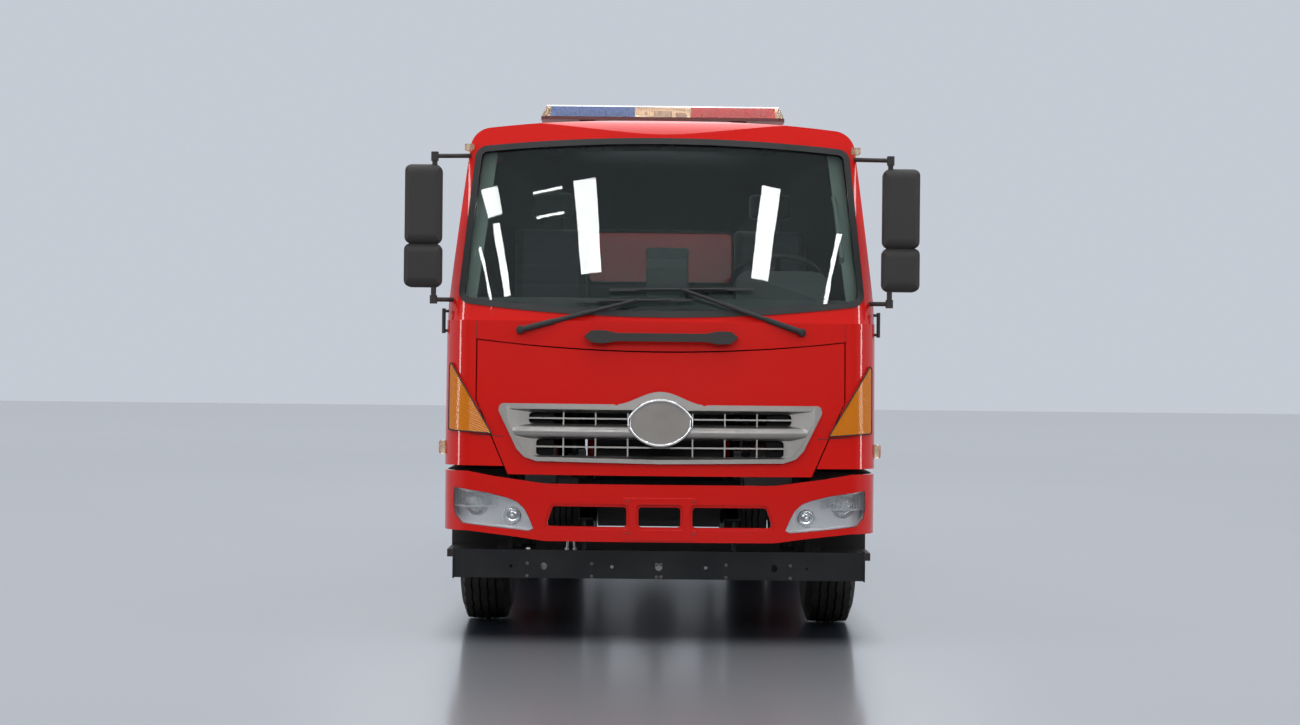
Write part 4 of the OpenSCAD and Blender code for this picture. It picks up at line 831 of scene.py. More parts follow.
def cab_depth(spot):
    """How far a place lies inside the cab's outer faces."""
    station = spot.y - BUMPER_Y
    side = CAB_HALF - max(0.0, spot.z - WAIST_Z) * SIDE_LEAN - abs(spot.x)
    front = screen_s(spot.z) if spot.z > SCREEN_FOOT else face_s(spot.z)
    ahead = station - front - spot.x * spot.x / (2 * BOW_R)
    above = ROOF_Z - spot.x * spot.x / (2 * ROOF_BOW_R) - spot.z
    behind = CAB_BACK - station
    return min(rounded_depth(side, ahead, PILLAR_R), rounded_depth(side, above, EAVE_R),
               rounded_depth(ahead, above, BROW_R), rounded_depth(behind, above, TAIL_R))


def lined(face):
    """Whether a face of the cab shell is covered inside: walls, roof, floor and the windows' reveals."""
    middle = face.calc_center_median()
    ahead = middle + face.normal * 0.03
    station = middle.y - BUMPER_Y
    floor = HUMP[1] if abs(ahead.x) < HUMP[0] else FLOOR_Z
    if middle.z > 1.5 and face.normal.z > 0.9:
        return False
    if ahead.z < floor - 0.005:
        return False
    if cab_depth(ahead) > INSIDE_DEPTH:
        return True
    shallow = REVEAL_DEPTH[0] < cab_depth(middle) < REVEAL_DEPTH[1] and abs(middle.x) < REVEAL_HALF
    reveal = abs(face.normal.y) < 0.25 and shallow
    return reveal and middle.z > 1.65 and not REVEAL_S[0] <= station <= REVEAL_S[1]


def skin(shape, faces, thickness):
    """Keeps some faces and gives them a thickness on their outer side."""
    rest = [face for face in shape.faces if face not in faces]
    bmesh.ops.delete(shape, geom=rest, context="FACES")
    made = bmesh.ops.extrude_face_region(shape, geom=shape.faces[:], use_keep_orig=True)["geom"]
    outer = {part for part in made if isinstance(part, bmesh.types.BMFace)}
    shape.normal_update()
    moves = []
    for vert in (part for part in made if isinstance(part, bmesh.types.BMVert)):
        normals = [face.normal for face in vert.link_faces if face in outer]
        way = sum(normals, Vector()).normalized()
        moves.append((vert, way * thickness / max(0.5, min(way.dot(normal) for normal in normals))))
    for vert, move in moves:
        vert.co += move
    bmesh.ops.recalc_face_normals(shape, faces=shape.faces[:])


def within(path, y, z):
    """Whether a place in the side view is inside a closed path."""
    crossed = False
    for a, b in zip(path, path[1:] + path[:1]):
        if (a.z > z) != (b.z > z) and y < a.y + (b.y - a.y) * (z - a.z) / (b.z - a.z):
            crossed = not crossed
    return crossed


def make_linings():
    """The cab's lining and one on each door, which also covers its window's reveal."""
    shape = merged("cab_shell")
    skin(shape, {face for face in shape.faces if lined(face)}, LINING_T)
    piece("cab_lining", shape, CAB_LINING, "cab")
    for side, sign in SIDES.items():
        window = rims("door_glass_" + side, (sign, 0, 0), 0.8)[0]
        shape = merged("door_" + side)
        chosen = set()
        for face in shape.faces:
            middle = face.calc_center_median()
            ahead = middle + face.normal * 0.05
            if face.normal.x * sign < -0.8 and cab_depth(middle) > 0.045:
                chosen.add(face)
            elif abs(face.normal.x) < 0.3 and within(window, ahead.y, ahead.z) and cab_depth(middle) > 0.03:
                chosen.add(face)
        skin(shape, chosen, LINING_T)
        piece("door_lining_" + side, shape, CAB_LINING, "door_" + side)


make_linings()


# Seats
SEAT_X = 0.64
SEAT_FOOT = 1.5205
SEAT_W = 0.48
# The folded middle seat's width, foot and the thickness of each of its two layers
FOLDED_SEAT = (0.42, 1.5605, 0.068)
SEAT_S = (1.0, 1.48)
CUSHION_T = 0.108
# Height and thickness of the back, and width, thickness and height of the headrest
BACK = (0.64, 0.108)
BACK_LEAN = math.radians(8)
HEADREST = (0.262, 0.088, 0.165)
PAD_VOXEL = 0.01
PAD_CAP = 0.012


def stuffed(size, rounding, channels):
    """A stuffed pad that stands on the origin, swelled by cloth pressure, with channels sewn over its front."""
    shape = bmesh.new()
    verts = bmesh.ops.create_cube(shape, size=1.0)["verts"]
    inner = Vector(size) - Vector((0.016, 0.016, 0.016))
    bmesh.ops.scale(shape, vec=inner, verts=verts)
    bmesh.ops.bevel(shape, geom=shape.edges[:], offset=rounding, segments=4, profile=0.5, affect="EDGES",
                    material=-1)
    bmesh.ops.translate(shape, vec=(0, 0, size[2] / 2), verts=shape.verts)
    mesh = bpy.data.meshes.new("pad")
    shape.to_mesh(mesh)
    shape.free()
    pad = bpy.data.objects.new("pad", mesh)
    bpy.context.scene.collection.objects.link(pad)
    grid = pad.modifiers.new("Remesh", "REMESH")
    grid.mode = "VOXEL"
    grid.voxel_size = PAD_VOXEL
    meshed = bpy.data.meshes.new_from_object(pad.evaluated_get(bpy.context.evaluated_depsgraph_get()))
    pad.modifiers.clear()
    pad.data = meshed
    swell(pad)
    ways = [vert.normal.copy() for vert in pad.data.vertices]
    for vert, way in zip(pad.data.vertices, ways):
        for line, across, depth in channels:
            run = (vert.co[across] - line) / 0.011
            push = depth * math.exp(-run * run)
            if across < 2 and way.z > 0.5:
                vert.co.z -= push
            elif across == 2 and way.y < -0.5:
                vert.co.y += push
    made = bmesh.new()
    made.from_mesh(pad.data)
    bpy.data.objects.remove(pad)
    return made


def swell(pad):
    """Runs the cloth pressure on a pad and caps how far each place moved."""
    before = [vert.co.copy() for vert in pad.data.vertices]
    cloth = pad.modifiers.new("Cloth", "CLOTH")
    cloth.settings.use_pressure = True
    cloth.settings.uniform_pressure_force = 4
    cloth.settings.tension_stiffness = cloth.settings.compression_stiffness = 12
    cloth.settings.effector_weights.gravity = 0
    cloth.point_cache.frame_start, cloth.point_cache.frame_end = 1, 20
    scene = bpy.context.scene
    for number in range(1, 21):
        scene.frame_set(number)
    swelled = bpy.data.meshes.new_from_object(pad.evaluated_get(bpy.context.evaluated_depsgraph_get()))
    pad.modifiers.clear()
    for vert, start, end in zip(pad.data.vertices, before, swelled.vertices):
        move = end.co - start
        vert.co = start + move * min(1.0, PAD_CAP / max(move.length, 1e-9))
    bpy.data.meshes.remove(swelled)
    scene.frame_set(1)


def add_turned(shape, part, turn):
    """Adds a finished shape to another one, moved to its place."""
    mesh = bpy.data.meshes.new("part")
    part.to_mesh(mesh)
    mesh.transform(turn)
    shape.from_mesh(mesh)
    bpy.data.meshes.remove(mesh)


def make_seats():
    """Seat cushions, backs and headrests as stuffed pads, with their posts and hinge covers."""
    pads, fittings = bmesh.new(), bmesh.new()
    depth = SEAT_S[1] - SEAT_S[0]
    edge = SEAT_W / 2 - 0.07
    cushion = stuffed((SEAT_W, depth, CUSHION_T), 0.035,
                      [(-edge, 0, 0.010), (edge, 0, 0.010)] + [(y, 1, 0.007) for y in (-0.09, 0.02, 0.13)])
    back = stuffed((SEAT_W - 0.02, BACK[1], BACK[0]), 0.035, [(z, 2, 0.007) for z in (0.17, 0.29, 0.41, 0.53)])
    headrest = stuffed(HEADREST, 0.03, [])
    for seat in SIDES.values():
        middle = seat * SEAT_X
        add_turned(pads, cushion, Matrix.Translation(at(middle, sum(SEAT_S) / 2, SEAT_FOOT)))
        hip = at(middle, SEAT_S[1] - 0.015, SEAT_FOOT + CUSHION_T + 0.004)
        seat_back = Matrix.Translation(hip) @ Matrix.Rotation(-BACK_LEAN, 4, "X")
        add_turned(pads, back, seat_back)
        add_turned(pads, headrest, seat_back @ Matrix.Translation((0, 0, BACK[0] + 0.045)))
        for x in (-0.06, 0.06):
            low, high = (seat_back @ Vector((x, 0, z)) for z in (BACK[0] - 0.02, BACK[0] + 0.07))
            boss(fittings, low, high - low, 0.007, (high - low).length, 12)
        for side in (-1, 1):
            hinge = at(middle + side * (SEAT_W / 2 - 0.004), SEAT_S[1] - 0.02, SEAT_FOOT + 0.075)
            boss(fittings, hinge, (side, 0, 0), 0.045, 0.022, 32, edge=0.006)
    width, foot, layer = FOLDED_SEAT
    folded = stuffed((width, depth, layer), 0.025, [])
    for k in (0, 1):
        add_turned(pads, folded, Matrix.Translation(at(0, sum(SEAT_S) / 2, foot + k * layer)))
    for part in (cushion, back, headrest, folded):
        part.free()
    seats = piece("cab_seats", pads, SEAT_CLOTH, "cab", smooth_angle=80)
    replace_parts(seats, "seats")
    piece("seat_fittings", fittings, CHARCOAL, "cab")


make_seats()


# Front lid and grille
GRILLE_PROUD = 0.018
GRILLE_FOOT = 0.945
GRILLE_HALF = [
    # x, height, on the right from the foot to the rise's side
    (0.640, 0.951), (0.712, 0.975), (0.752, 1.017), (0.852, 1.220), (0.838, 1.254),
]
# Half width, foot and top of the rise over the medallion
RISE = (0.240, 1.254, 1.322)
OPENINGS = [
    # inner x, outer x, foot, top
    (0.0, 0.650, 0.983, 1.069),
    (0.060, 0.690, 1.149, 1.207),
]
# Foot, top and proudness of the bar between the openings, and depths of the pockets and the throat
BAR = (1.082, 1.137, 0.014)
FLOOR = 0.020
THROAT = 0.034
# Heights of the slats and places of the posts on each side
SLATS = (1.029, 1.178)
POSTS = (0.170, 0.339, 0.508)
# Half width, half height and middle of the medallion
MEDALLION = (0.178, 0.124, 1.160)


def face(x0, x1, profile, pitch=0.03):
    """A profile carried across the leaning front panel."""
    return run(bowed(BOW_R, FACE_S, x0, x1, pitch), profile, FACE_LEAN, FACE_FOOT)


def grille_outline():
    """The grille's outline with the rise over its medallion."""
    half_w, foot, top = RISE
    rise = [(half_w * (1 - k / 10), foot + (top - foot) * (1 - math.cos(math.pi * k / 10)) / 2)
            for k in range(10)]
    # The corner in the middle only closes the half while its other corners are rounded
    corners = rounded(GRILLE_HALF + rise[:1] + [(0.0, 1.1)], 0.04)[:-1]
    right = [spot for spot in corners if spot[0] > 0.1] + rise[1:]
    return [(0.0, GRILLE_FOOT)] + right + [(0.0, top)] + [(-x, z) for x, z in right[::-1]]


def oval(grow=0.0, steps=40):
    """The medallion's outline: two flat arcs with blunted ends."""
    a, b = MEDALLION[0] + grow, MEDALLION[1] + grow
    radius = (a * a + b * b) / (2 * b)
    reach = math.asin((a - 0.010) / radius)
    upper = [(radius * math.sin(t), b - radius + radius * math.cos(t))
             for t in (reach * (1 - 2 * k / steps) for k in range(steps + 1))]
    return [(x, MEDALLION[2] + z) for x, z in upper + [(-x, -z) for x, z in upper]]


def make_grille():
    """The lid with its aperture, the grille's moulding, its slats and posts, and the bare medallion."""
    outline = grille_outline()
    lid = carved(merged("front_lid"), prism(grown(outline, -0.012)))
    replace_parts(piece("front_lid_panel", lid, FIRE_RED, "front_lid"), "front_lid")

    body = carved(face(-0.9, 0.9, band(GRILLE_PROUD, -0.0004, 0.9, 1.4)), prism(outline), "INTERSECT")
    throat = carved(face(-0.9, 0.9, band(0.016, THROAT, 0.9, 1.4)), prism(grown(outline, -0.014)), "INTERSECT")
    body = carved(body, throat, "UNION")
    (_, _, low_foot, low_top), (_, _, high_foot, high_top) = OPENINGS
    bar_low, bar_high, nose = BAR
    pocket = face(-0.9, 0.9, [
        (0.06, 1.226), (GRILLE_PROUD, 1.226), (-FLOOR, high_top), (-FLOOR, high_foot),
        (nose - 0.012, bar_high - 0.002), (nose - 0.003, bar_high - 0.012), (nose, (bar_low + bar_high) / 2),
        (nose - 0.003, bar_low + 0.012), (nose - 0.012, bar_low + 0.002), (-FLOOR, low_top),
        (-FLOOR, low_foot), (GRILLE_PROUD, 0.964), (0.06, 0.964)])
    foot = (0.668, FACE_S + bow_at(0.690) + FLOOR + 0.001)
    lip = (0.800, FACE_S + bow_at(0.800) - GRILLE_PROUD - 0.001)
    wedge = [(lip[0], -0.3), lip, foot, (foot[0], 0.4)]
    wedge = wedge + [(-x, s) for x, s in wedge[::-1]]
    rings = [[at(x, s + (z - FACE_FOOT) * FACE_LEAN, z) for x, s in wedge] for z in (0.9, 1.4)]
    pocket = carved(pocket, solid_between(*rings), "INTERSECT")
    body = carved(body, carved(pocket, prism(grown(outline, -0.022)), "INTERSECT"))
    for inner, outer, low, high in OPENINGS:
        for side in ((1, -1) if inner else (1,)):
            corners = [(inner or -outer, low), (outer, low), (outer, high), (inner or -outer, high)]
            corners = [(side * x, z) for x, z in corners][::side]
            body = carved(body, prism(rounded(corners, 0.022)))
    moulding = piece("grille_moulding", softened(body, 0.0022, 45), GRILLE_SILVER, "front_lid", 50, True)
    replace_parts(moulding, "grille")

    bars = []
    for (_, outer, _, _), z in zip(OPENINGS, SLATS):
        bars.append(face(-outer - 0.002, outer + 0.002, band(-0.010, 0.030, z - 0.004, z + 0.004)))
    for x in POSTS:
        for side in SIDES.values():
            bars.append(face(side * x - 0.0035, side * x + 0.0035, band(-0.011, 0.029, 0.981, 1.209)))
    piece("grille_slats", joined(*bars), SLAT_GREY, "front_lid")

    plate = carved(face(-0.2, 0.2, band(0.026, THROAT, 1.0, 1.3), 0.01), prism(oval(-0.004)), "INTERSECT")
    piece("medallion_plate", plate, PLATE_GREY, "front_lid")
    ring = bmesh.new()
    swept(ring, evened([on_face(x, z, 0.027) for x, z in oval(-0.006)], 0.008), 0.009, closed=True, sides=5)
    piece("medallion_ring", ring, CHROME, "front_lid", smooth_angle=60)


make_grille()


# Bumper
BUMPER_R = 6.2
# Middle of the corner's arc and its radius
BUMPER_CORNER = (0.948, 0.19)
BUMPER_END_S = 0.25
BUMPER_T = 0.024
BUMPER_HALF = [
    # x, height, on the right from the foot round the end to the upper edge
    (0.600, 0.539), (0.760, 0.560), (1.000, 0.586), (1.2, 0.586),
    (1.2, 0.898), (1.010, 0.898), (0.860, 0.872), (0.600, 0.838),
]
LAMP_OUTLINE = [
    (0.656, 0.603), (0.681, 0.589), (0.896, 0.609), (1.034, 0.624), (1.072, 0.666), (1.083, 0.720),
    (1.080, 0.812), (0.896, 0.786), (0.795, 0.762), (0.745, 0.743), (0.704, 0.706), (0.677, 0.653),
]
INTAKES = [
    [(-0.109, 0.617), (0.109, 0.617), (0.109, 0.721), (-0.109, 0.721)],
    [(0.172, 0.617), (0.590, 0.617), (0.556, 0.721), (0.172, 0.721)],
    [(-0.590, 0.617), (-0.172, 0.617), (-0.172, 0.721), (-0.556, 0.721)],
]
# Width and depth of the sunk rim round each intake
INTAKE_RIM = (0.014, 0.008)
BRACKET = [(-0.190, 0.548), (0.190, 0.548), (0.190, 0.770), (-0.190, 0.770)]
LAMP_BOWLS = [
    # x, height, radius at its mouth, depth
    (0.962, 0.722, 0.062, 0.032),
    (0.772, 0.664, 0.052, 0.028),
]
LAMP_DEPTH = 0.12
CAVITY = 0.062
SHELF_Z = 0.712


def bumper_plan(start=0.0):
    """Plan of the bumper from a place on its bow round its left corner to its end."""
    middle, corner = BUMPER_CORNER
    turn = math.asin(middle / (BUMPER_R - corner))
    centre = BUMPER_R - (BUMPER_R - corner) * math.cos(turn)
    plan = bowed(BUMPER_R, 0.0, start, BUMPER_R * math.sin(turn))
    last = math.acos((centre - BUMPER_END_S) / corner)
    for k in range(1, 17):
        angle = turn + (last - turn) * k / 16
        plan.append((middle + corner * math.sin(angle), centre - corner * math.cos(angle), math.sin(angle),
                     -math.cos(angle)))
    return plan


def bumper_s(x, inset):
    """Station of a face that follows the bumper's bow."""
    return BUMPER_R - math.sqrt((BUMPER_R - inset) ** 2 - x * x)


def bumper_face_s(x):
    """Station of the bumper's own face, also round its corner."""
    if x < BUMPER_CORNER[0] * BUMPER_R / (BUMPER_R - BUMPER_CORNER[1]):
        return bumper_s(x, 0)
    middle, radius = BUMPER_CORNER
    return bumper_s(middle, radius) - math.sqrt(max(0.0, radius * radius - (x - middle) ** 2))


def lamp_layer(proud, inset, grow):
    """A layer of one headlamp that follows the bumper."""
    return carved(run(bumper_plan(0.6), band(proud, inset, 0.55, 0.85)), prism(grown(LAMP_OUTLINE, grow)),
                  "INTERSECT")


def make_bumper():
    """Bumper skin with its lamp and intake openings, their sunk rims, and the bracket plate in its middle."""
    skin_plan = both_ways(bumper_plan())
    shape = carved(run(skin_plan, band(0, BUMPER_T, 0.5, 1.0)), prism(across(BUMPER_HALF)), "INTERSECT")
    for side in (1, -1):
        lamp = [(side * x, z) for x, z in LAMP_OUTLINE][::side]
        shape = carved(shape, prism(rounded(lamp, 0.006, 2)))
    bracket = carved(run(bowed(BUMPER_R, 0.0, -0.3, 0.3), band(0.005, 0.003, 0.5, 0.8)),
                     prism(rounded(BRACKET, 0.004, 2)), "INTERSECT")
    for outline in INTAKES:
        rim, sunk = INTAKE_RIM
        wide = rounded(grown(outline, rim), 0.03)
        layer = run(bowed(BUMPER_R, 0.0, -0.7, 0.7), band(0.001, sunk, 0.55, 0.8))
        shape = carved(shape, carved(layer, prism(wide), "INTERSECT"))
        shape = carved(shape, prism(rounded(outline, 0.02)))
        bracket = carved(bracket, prism(wide))
    softened(shape, 0.005)
    softened(bracket, 0.0015)
    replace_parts(piece("bumper_skin", shape, FIRE_RED, "chassis", 50, True), "bumper")
    piece("bumper_bracket", bracket, FIRE_RED, "chassis", 50, True)


make_bumper()


# Headlamps
# Count, first place and pitch of the flutes
FLUTES = (30, 0.845, 0.0075)
# The shelf's reach across
SHELF_X = (0.86, 1.2)


def make_headlamps():
    """Housings with a shelf, reflector bowls, bulb caps, the lens with its flutes, and its dark seal."""
    housing = carved(lamp_layer(-BUMPER_T - 0.0003, LAMP_DEPTH, 0.006),
                     lamp_layer(-BUMPER_T + 0.002, CAVITY, -0.007))
    bowls, caps, flutes, seals = bmesh.new(), bmesh.new(), bmesh.new(), bmesh.new()
    for x, z, mouth, depth in LAMP_BOWLS:
        radius = (mouth * mouth + depth * depth) / (2 * depth)
        middle = at(x, bumper_s(x, CAVITY) + depth - radius, z)
        ball = bmesh.new()
        bmesh.ops.create_uvsphere(ball, u_segments=48, v_segments=32, radius=radius,
                                  matrix=Matrix.Translation(middle))
        housing = carved(housing, ball)
        reach = math.asin(min(1.0, (mouth - 0.002) / radius))
        outline = []
        for k in list(range(7)) + list(range(6, -1, -1)):
            turn = reach * k / 6
            step = 0.0004 if len(outline) > 6 else (0.0016 if k % 2 else 0.003)
            outline.append(middle + (radius - step) * Vector((math.sin(turn), math.cos(turn), 0)))
        spun(bowls, outline, 26, axis=(0, 1, 0), centre=middle)
        tip = at(x, bumper_s(x, CAVITY) - 0.004, z)
        boss(caps, tip, (0, -1, 0), 0.0105, 0.012, 20, top=0.008, edge=0.003)
        boss(caps, tip, (0, 1, 0), 0.009, depth, 20)
    low, high = SHELF_Z - 0.004, SHELF_Z + 0.004
    outline = [(x, low) for x in SHELF_X] + [(x, high) for x in SHELF_X[::-1]]
    shelf = carved(lamp_layer(-BUMPER_T - 0.006, CAVITY + 0.002, -0.006), prism(outline), "INTERSECT")
    housing = joined(housing, shelf)
    count, first, pitch = FLUTES
    for k in range(count):
        x = first + pitch * k
        low, high = SHELF_Z + 0.008, lamp_top(x) - 0.010
        boss(flutes, at(x, bumper_face_s(x) + 0.012, low), (0, 0, 1), 0.0034, high - low, 10)
    lens = lamp_layer(-0.001, 0.007, -0.0006)
    for shape in (housing, bowls, caps, flutes, lens):
        mirrored(shape)
    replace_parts(piece("headlamp_housings", housing, LAMP_SILVER, "chassis"), "headlamps")
    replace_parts(piece("headlamp_glasses", lens, LAMP_GLASS, "chassis"), "headlamp_lenses")
    for side in (1, -1):
        path = [at(side * x, bumper_face_s(x) + 0.004, z) for x, z in grown(LAMP_OUTLINE, 0.001)]
        swept(seals, evened(path, 0.012), 0.0028, closed=True)
    piece("headlamp_reflectors", bowls, CHROME, "chassis", smooth_angle=4)
    piece("headlamp_bulb_caps", caps, CHROME, "chassis")
    piece("headlamp_flutes", flutes, LAMP_GLASS, "chassis")
    piece("headlamp_seals", seals, BLACK_RUBBER, "chassis")


def lamp_top(x):
    """Height of the headlamp's upper edge at a place across it."""
    upper = LAMP_OUTLINE[6:9]
    for (x1, z1), (x0, z0) in zip(upper, upper[1:]):
        if x0 <= x <= x1:
            return z0 + (z1 - z0) * (x - x0) / (x1 - x0)
    return upper[0][1]


make_headlamps()


# Grab bar, pillar rails, door handles, repeaters and seams
HANDLE_Z = 1.606
HANDLE_RIGHT = [
    (0.230, -0.022), (0.300, -0.034), (0.365, -0.030), (0.405, 0.004), (0.365, 0.034), (0.300, 0.036),
    (0.230, 0.022),
]
RAIL_X = 1.158
RAIL_S = 0.30
HANDLE_FOOT = [(0.285, -0.032), (0.365, -0.030), (0.403, 0.004), (0.365, 0.032), (0.285, 0.034)]
# Two ends of each seam of the cowl, as x and height
SEAMS = [
    ((0.972, 1.596), (0.972, 1.684)),
    ((0.825, 1.079), (1.000, 1.090)),
]


def make_front_trims():
    """Moulded grab bar on its feet, upright rails by the pillars, door handles, pale repeaters and seams."""
    outline = [(x, HANDLE_Z + z) for x, z in rounded(across(HANDLE_RIGHT), 0.012, 3)]
    bar = carved(face(-0.42, 0.42, band(0.064, -0.038, 1.5, 1.7)), prism(outline, -0.3), "INTERSECT")
    for side in (1, -1):
        foot = [(side * x, HANDLE_Z + z) for x, z in HANDLE_FOOT][::side]
        layer = face(-0.42, 0.42, band(0.039, -0.0004, 1.5, 1.7))
        bar = joined(bar, carved(layer, prism(foot, -0.3), "INTERSECT"))
    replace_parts(piece("grab_bar", softened(bar, 0.006, 60), CHARCOAL, "cab", 50, True), "front_handle")
    rails, repeaters, seams = bmesh.new(), bmesh.new(), bmesh.new()
    for side, sign in SIDES.items():
        swept(rails, [at(sign * RAIL_X, RAIL_S, z) for z in (1.620, 1.752)], 0.010)
        for z in (1.634, 1.738):
            swept(rails, [at(sign * RAIL_X, RAIL_S, z), at(sign * 1.130, RAIL_S + 0.003, z)], 0.008)
        side_block(repeaters, sign, (1.1404, 1.176), (0.264, 0.330), (0.976, 1.052), 0.014, 3)
        for (x0, z0), (x1, z1) in SEAMS:
            spots = [on_face(sign * (x0 + (x1 - x0) * k / 8), z0 + (z1 - z0) * k / 8, -0.001) for k in range(9)]
            swept(seams, spots, 0.0024)
        handles, cups = bmesh.new(), bmesh.new()
        side_block(handles, sign, (1.144, 1.158), (1.117, 1.313), (1.488, 1.512), 0.006)
        for s in (1.127, 1.293):
            side_block(handles, sign, (1.139, 1.150), (s, s + 0.010), (1.490, 1.510), 0.002)
        side_block(cups, sign, (1.1395, 1.1412), (1.140, 1.290), (1.465, 1.535), 0.0005, 1)
        piece("door_handle_" + side, handles, CHARCOAL, "door_" + side)
        piece("door_handle_cup_" + side, cups, BLACK_RUBBER, "door_" + side)
    piece("pillar_rails", rails, BLACK_RUBBER, "cab")
    piece("side_repeaters", repeaters, CLEAR_LENS, "cab")
    piece("cowl_seams", seams, BLACK_RUBBER, "cab")


make_front_trims()


# Dashboard and pillars
# Outlines from in front, and the stations that they reach between
HOOD = [(0.392, 1.735), (0.892, 1.735), (0.892, 1.970), (0.392, 1.970)]
HOOD_S = (0.335, 0.482)
CONTROL_BOX = [(-0.083, 1.808), (0.143, 1.808), (0.143, 2.088), (-0.083, 2.088)]
CONTROL_BOX_S = (0.318, 0.422)


def make_dash():
    """Rounded instrument hood, the control box with its screen, the pillars' trims and the driver's grip."""
    dash = softened(prism(rounded(HOOD, 0.09, 8), *HOOD_S), 0.01)
    joined(dash, softened(prism(rounded(CONTROL_BOX, 0.02, 4), *CONTROL_BOX_S), 0.006))
    piece("dash_hood", dash, CAB_LINING, "cab")
    screen = bmesh.new()
    soft_block(screen, (-0.062, 0.4215, 1.90), (0.122, 0.4245, 2.06), 0.001)
    piece("control_screen", screen, BLACK_RUBBER, "cab")
    trims = bmesh.new()
    for side in SIDES.values():
        rings = []
        for z in (1.80, 2.62):
            inner, outer = (x - (z - WAIST_Z) * SIDE_LEAN for x in (0.985, 1.070))
            front = screen_s(z) + bow_at(1.0) + 0.075
            rings.append([at(side * x, s, z) for x, s in ((inner, front), (outer, front + 0.012),
                                                          (outer, front + 0.10), (inner + 0.03, front + 0.06))])
        post = softened(solid_between(*rings), 0.012)
        add_turned(trims, post, Matrix())
        post.free()
    piece("pillar_trims", trims, PILLAR_TRIM, "cab")
    grip = bmesh.new()
    spots = [(0.0, 2.02), (-0.045, 2.05), (-0.05, 2.10), (-0.05, 2.30), (-0.045, 2.35), (0.0, 2.38)]
    swept(grip, [at(0.995 - (z - WAIST_Z) * SIDE_LEAN, screen_s(z) + 0.175 + s, z) for s, z in spots], 0.013)
    piece("pillar_grip", grip, PILLAR_TRIM, "cab")


make_dash()


# Light bar
LIGHT_BAR_S = 0.9
LENS_Z = 2.835
LENS_H = 0.071
LENS_END = (0.620, 0.676, 0.034)
MODULE_HALF = 0.072
# Least and greatest x of each lamp module
MODULES = [(0.187, 0.307), (0.331, 0.451), (0.475, 0.595)]


def make_light_bar():
    """End caps that slant in, lamp modules with rows of small lamps, and two amber lamps in the middle."""
    caps = merged("light_bar_clear")
    inner, outer, slant = LENS_END
    for vert in caps.verts:
        share = (abs(vert.co.x) - inner) / (outer - inner)
        if share > 0:
            vert.co.x -= math.copysign(slant * share * (vert.co.z - LENS_Z) / LENS_H, vert.co.x)
    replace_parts(piece("light_bar_end_lenses", caps, CLEAR_LENS, "cab"), "light_bar_clear")
    faces, lamps, amber = bmesh.new(), bmesh.new(), bmesh.new()
    for low, high in MODULES + [(-0.052, 0.052)]:
        for side in ((1, -1) if low > 0 else (1,)):
            ends = sorted((side * low, side * high))
            soft_block(faces, (ends[0], LIGHT_BAR_S - MODULE_HALF, LENS_Z - 0.0005),
                       (ends[1], LIGHT_BAR_S + MODULE_HALF, LENS_Z + 0.046), 0.003)
            count = 6 if low > 0 else 5
            for way in (-1, 1):
                for k in range(count):
                    x = ends[0] + 0.006 + (ends[1] - ends[0] - 0.012) * (k + 0.5) / count
                    for z in (0.015, 0.032):
                        spot = at(x, LIGHT_BAR_S + way * MODULE_HALF, LENS_Z + z)
                        boss(lamps, spot, (0, way, 0), 0.0065, 0.004, 16, top=0.0035)
    for x in (-0.102, 0.102):
        boss(amber, at(x, LIGHT_BAR_S, LENS_Z - 0.0005), (0, 0, 1), 0.030, 0.0475, 40, edge=0.004)
        for z in (0.008, 0.02, 0.032):
            boss(amber, at(x, LIGHT_BAR_S, LENS_Z + z), (0, 0, 1), 0.0335, 0.006, 40, edge=0.002)
    piece("light_bar_module_faces", faces, MODULE_FACE, "cab")
    piece("light_bar_module_lamps", lamps, MODULE_LAMP, "cab")
    piece("light_bar_rotators", amber, AMBER_LENS, "cab")


make_light_bar()


# Rubbers, trims and bolts
UNDERRUN_S = 0.100
UNDERRUN_BOLT_X = (0.012, 0.352, 0.690)
UNDERRUN_BOLT_Z = (0.416, 0.350)
BRACKET_SCREW_X = (-0.165, 0.178)
BRACKET_SCREW_Z = (0.752, 0.585)
SHACKLE_S = 0.130
SHACKLE_FEET = (-0.484, -0.442)


def make_rubbers():
    """Rubber lips round the door windows and the turn lamps."""
    for side, sign in SIDES.items():
        lip = bmesh.new()
        for path in rims("door_glass_" + side, (sign, 0, 0), 0.8):
            swept(lip, evened(path, 0.02), 0.009, closed=True)
        piece("door_window_rubber_" + side, lip, BLACK_RUBBER, "door_" + side)
    lamps = bmesh.new()
    for side in SIDES.values():
        for path in rims("turn_lamps", (side * 0.35, -1, 0), 0.5, lambda spot: spot.x * side > 0.8):
            if max(spot.z for spot in path) - min(spot.z for spot in path) > 0.2:
                swept(lamps, evened(path, 0.012), 0.0035, closed=True)
    piece("turn_lamp_gaskets", lamps, BLACK_RUBBER, "cab")


def make_front_bolts():
    """Bolts of the underrun bar and screws of the bumper's bracket."""
    bolts = bmesh.new()
    for x in UNDERRUN_BOLT_X:
        for side in SIDES.values():
            for z in UNDERRUN_BOLT_Z:
                bolt(bolts, at(side * x, UNDERRUN_S, z), (0, -1, 0), 0.0085)
    for x in BRACKET_SCREW_X:
        for z in BRACKET_SCREW_Z:
            boss(bolts, at(x, bumper_s(x, -0.005), z), (0, -1, 0), 0.006, 0.003, 20, top=0.0045)
    piece("front_bolts", bolts, BOLT_STEEL, "chassis")


